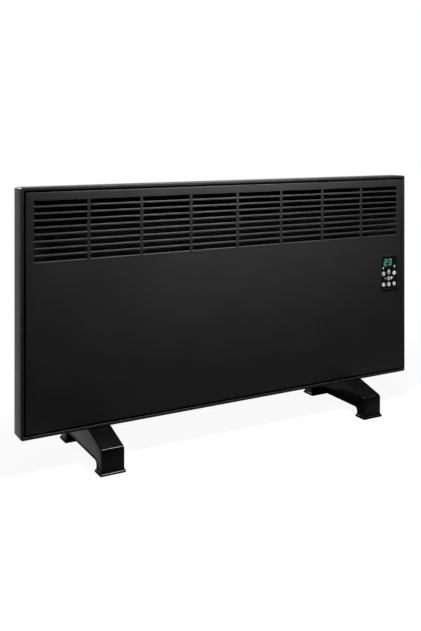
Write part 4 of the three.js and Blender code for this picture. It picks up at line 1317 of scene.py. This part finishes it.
def button(name, body):
    """Dished cap, the flange that keeps it behind the fascia, and the stem to its switch."""
    low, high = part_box(name)
    centre = (low + high) / 2
    shoulder = FASCIA_HIGH.y + GAP
    cap = disc("cap_" + name, (centre.x, low.y, centre.z), BUTTON_R, shoulder - low.y, 40)
    spot = (centre.x, 0, centre.z)
    edit(cap)
    edges_at(low.y)
    round_off(CAP_EDGE, 4)
    broad_front(20)
    inset(CAP_RIM)
    inset(DISH_WALL)
    bpy.ops.transform.translate(value=(0, DISH_DEPTH, 0))
    faces(faces_back)
    push()
    grow(x=BUTTON_FLANGE_R / BUTTON_R, z=BUTTON_FLANGE_R / BUTTON_R, centre=spot)
    push(y=BUTTON_FLANGE)
    push()
    grow(x=STEM_R / BUTTON_FLANGE_R, z=STEM_R / BUTTON_FLANGE_R, centre=spot)
    push(y=high.y - shoulder - BUTTON_FLANGE)
    done()
    smooth(cap)
    keep(cap, body, "button_white", name, look=CAP_FINISHES.get(name, "button_pale"))
    face = (centre.x, low.y + DISH_DEPTH - PRINT, centre.z)
    icon = join("icon_" + name, [make(face, *sizes) for make, *sizes in ICONS[name]])
    keep(icon, body, "trim_plastic")


def indicator(name):
    lamp_lens = plate_like("lens_" + name, name, 1.1 * MM, 0.35 * MM)
    smooth(lamp_lens)
    keep(lamp_lens, BODY, "button_white", name)


# ---------------------------------------------------------------- printed marks


def ring_mark(spot, outer, inner, dx=0.0, dz=0.0):
    x, y, z = spot
    ring = disc("ring", (x + dx, y, z + dz), outer, 2 * PRINT, 32)
    carve(ring, [disc("hole", (x + dx, y - PRINT, z + dz), inner, 4 * PRINT, 32)])
    return ring


def dot_mark(spot, radius, dx=0.0, dz=0.0):
    x, y, z = spot
    return disc("dot", (x + dx, y, z + dz), radius, 2 * PRINT, 24)


def bar_mark(spot, width, height, dx=0.0, dz=0.0, turn=0.0):
    x, y, z = spot[0] + dx, spot[1], spot[2] + dz
    low = (x - width / 2, y, z - height / 2)
    high = (x + width / 2, y + 2 * PRINT, z + height / 2)
    bar = rounded_tool("bar", low, high, 1, min(width, height) * 0.3)
    turn_about(bar, (x, 0, z), turn)
    return bar


def triangle_mark(spot, radius, dx=0.0, dz=0.0, turn=0.0):
    """A triangle with softened corners that points up, or down when it is turned."""
    x, y, z = spot[0] + dx, spot[1], spot[2] + dz
    triangle = disc("triangle", (x, y, z), radius, 2 * PRINT, 3)
    if max(v.co.z for v in triangle.data.vertices) < z + 0.9 * radius:
        turn_about(triangle, (x, 0, z), 180)
    turn_about(triangle, (x, 0, z), turn)
    edit(triangle)
    edges(lambda e: runs(e, 1))
    round_off(radius * 0.12, 2)
    done()
    return triangle


def turn_about(piece, spot, degrees):
    place = Matrix.Translation(spot)
    piece.data.transform(place @ Matrix.Rotation(math.radians(degrees), 4, "Y") @ place.inverted())


def ray_marks(count, reach, width, length):
    """The short rays round a sun."""
    rays = []
    for k in range(count):
        angle = 2 * math.pi * k / count
        place = (reach * math.sin(angle), reach * math.cos(angle))
        rays.append((bar_mark, width, length, *place, math.degrees(angle)))
    return rays


ICONS = {
    "power_button": [
        (ring_mark, 2.2 * MM, 1.3 * MM, 0.0, -0.5 * MM),
        (bar_mark, 0.9 * MM, 2.2 * MM, 0.0, 1.2 * MM),
    ],
    "mode_button": [
        (dot_mark, 0.9 * MM),
        *ray_marks(8, 1.9 * MM, 0.4 * MM, 0.9 * MM),
    ],
    "up_button": [
        (triangle_mark, 1.9 * MM, 0.0, -0.5 * MM),
    ],
    "down_button": [
        (triangle_mark, 1.9 * MM, 0.0, 0.9 * MM, 180),
    ],
    "timer_button": [
        (ring_mark, 2.5 * MM, 1.8 * MM, 0.0, -0.9 * MM),
        (bar_mark, 2.2 * MM, 0.9 * MM, 0.0, 2.5 * MM),
        (bar_mark, 0.5 * MM, 1.5 * MM, 0.0, -0.3 * MM),
        (bar_mark, 1.3 * MM, 0.5 * MM, 0.4 * MM, -0.9 * MM),
    ],
    "program_button": [
        (bar_mark, 3.6 * MM, 0.8 * MM, 0.0, 1.2 * MM),
        (bar_mark, 3.6 * MM, 0.8 * MM),
        (bar_mark, 3.6 * MM, 0.8 * MM, 0.0, -1.2 * MM),
    ],
    "lock_button": [
        (bar_mark, 2.2 * MM, 1.6 * MM, 0.0, -0.7 * MM),
        (ring_mark, 0.95 * MM, 0.65 * MM, 0.0, 0.4 * MM),
    ],
}


# the setting button that a mark stands by, the mark's radius, its place from there and its turn
DIM_MARKS = (
    ("up_button", 2.1 * MM, 0.0, 6.1 * MM, 0),
    ("down_button", 1.7 * MM, 0.0, -5.6 * MM, 180),
    ("down_button", 2.9 * MM, -10.6 * MM, 0.6 * MM, -90),
)
BRIGHT_MARKS = (("down_button", 4.0 * MM, 7.8 * MM, 1.3 * MM, 68),)


def fascia_marks(name, rows, look):
    """Triangles printed on the fascia over, under or beside the two setting buttons."""
    marks = []
    for key, *sizes in rows:
        centre = centre_of(key)
        marks.append(triangle_mark((centre.x, FASCIA_LOW.y - PRINT, centre.z), *sizes))
    keep(join(name, marks), BODY, "button_white", look=look)


# ---------------------------------------------------------------- fixings on the back

SCREW_HEAD_R = 4 * MM
SCREW_HEAD = 2.3 * MM
SCREW_HEAD_ROUND = 1.2 * MM
SCREW_R = 1.6 * MM
RECESS = (3.8 * MM, 0.9 * MM)
RECESS_DEPTH = 1.3 * MM
COLLAR = 5 * MM
COLLAR_EDGE = 0.8 * MM
DOME_R = 8.8 * MM
DOME_ROUND = 3.4 * MM
NECK_R = 7.6 * MM
CORD_BORE_R = 3.6 * MM


def panel_screw():
    """Pan head with a cross recess, and its shank."""
    low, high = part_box(PANEL_SCREWS[0])
    centre = (low + high) / 2
    seat = high.y - SCREW_HEAD
    spot = (centre.x, 0, centre.z)
    screw = disc("back_screw", (centre.x, seat, centre.z), SCREW_HEAD_R, SCREW_HEAD, 32)
    edit(screw)
    edges_at(high.y)
    round_off(SCREW_HEAD_ROUND, 5)
    broad_front(20)
    push()
    grow(x=SCREW_R / SCREW_HEAD_R, z=SCREW_R / SCREW_HEAD_R, centre=spot)
    push(y=low.y - seat + MM)
    push(y=-MM)
    grow(x=0.6, z=0.6, centre=spot)
    done()
    for wide, tall in (RECESS, RECESS[::-1]):
        lower = (centre.x - wide / 2, high.y - RECESS_DEPTH, centre.z - tall / 2)
        upper = (centre.x + wide / 2, high.y + MM, centre.z + tall / 2)
        carve(screw, [cube("blade", lower, upper)])
    smooth(screw)
    for name in PANEL_SCREWS[1:]:
        twin = copy_of(screw, "back_" + name, centre_of(name) - centre)
        keep(twin, BODY, "screw_steel", name)
    screw.name = "back_" + PANEL_SCREWS[0]
    keep(screw, BODY, "screw_steel", PANEL_SCREWS[0])


def gland():
    """Six-sided collar, clamping dome with its bore, and the threaded neck."""
    low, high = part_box("cable_gland")
    centre = (low + high) / 2
    wall = CASE_HIGH.y
    collar_r = (high.x - low.x) / 2
    collar = disc("cord_gland", (centre.x, wall + GAP, centre.z), collar_r, COLLAR, 6)
    edit(collar)
    edges(lambda e: runs(e, 1))
    round_off(COLLAR_EDGE, 3)
    edges_at(wall + GAP + COLLAR)
    round_off(COLLAR_EDGE, 2)
    done()
    dome = disc("dome", (centre.x, wall + COLLAR, centre.z), DOME_R, high.y - wall - COLLAR, 48)
    edit(dome)
    edges_at(high.y)
    round_off(DOME_ROUND, 6)
    done()
    neck = disc("neck", (centre.x, low.y, centre.z), NECK_R, wall - low.y + 2 * MM, 40)
    carve(collar, [dome], "UNION")
    carve(collar, [neck], "UNION")
    bore = disc("bore", (centre.x, low.y - MM, centre.z), CORD_BORE_R, high.y - low.y + 2 * MM, 32)
    carve(collar, [bore])
    smooth(collar)
    keep(collar, BODY, "foot_plastic", "cable_gland")


# ---------------------------------------------------------------- scene

bpy.context.scene.view_settings.view_transform = "Standard"

camera()
world()
floor()
for row in LAMPS:
    lamp(*row)
finishes()
dress()
casing_shell()
louvred_panel()
feet()
bezel()
fascia()
lens()
display_block()
lit_figures("23")
for button_name, key in BUTTONS.items():
    button(button_name, key)
for indicator_name in INDICATORS:
    indicator(indicator_name)
fascia_marks("fascia_marks_dim", DIM_MARKS, "button_grey")
fascia_marks("fascia_mark_bright", BRIGHT_MARKS, "button_white")
panel_screw()
gland()
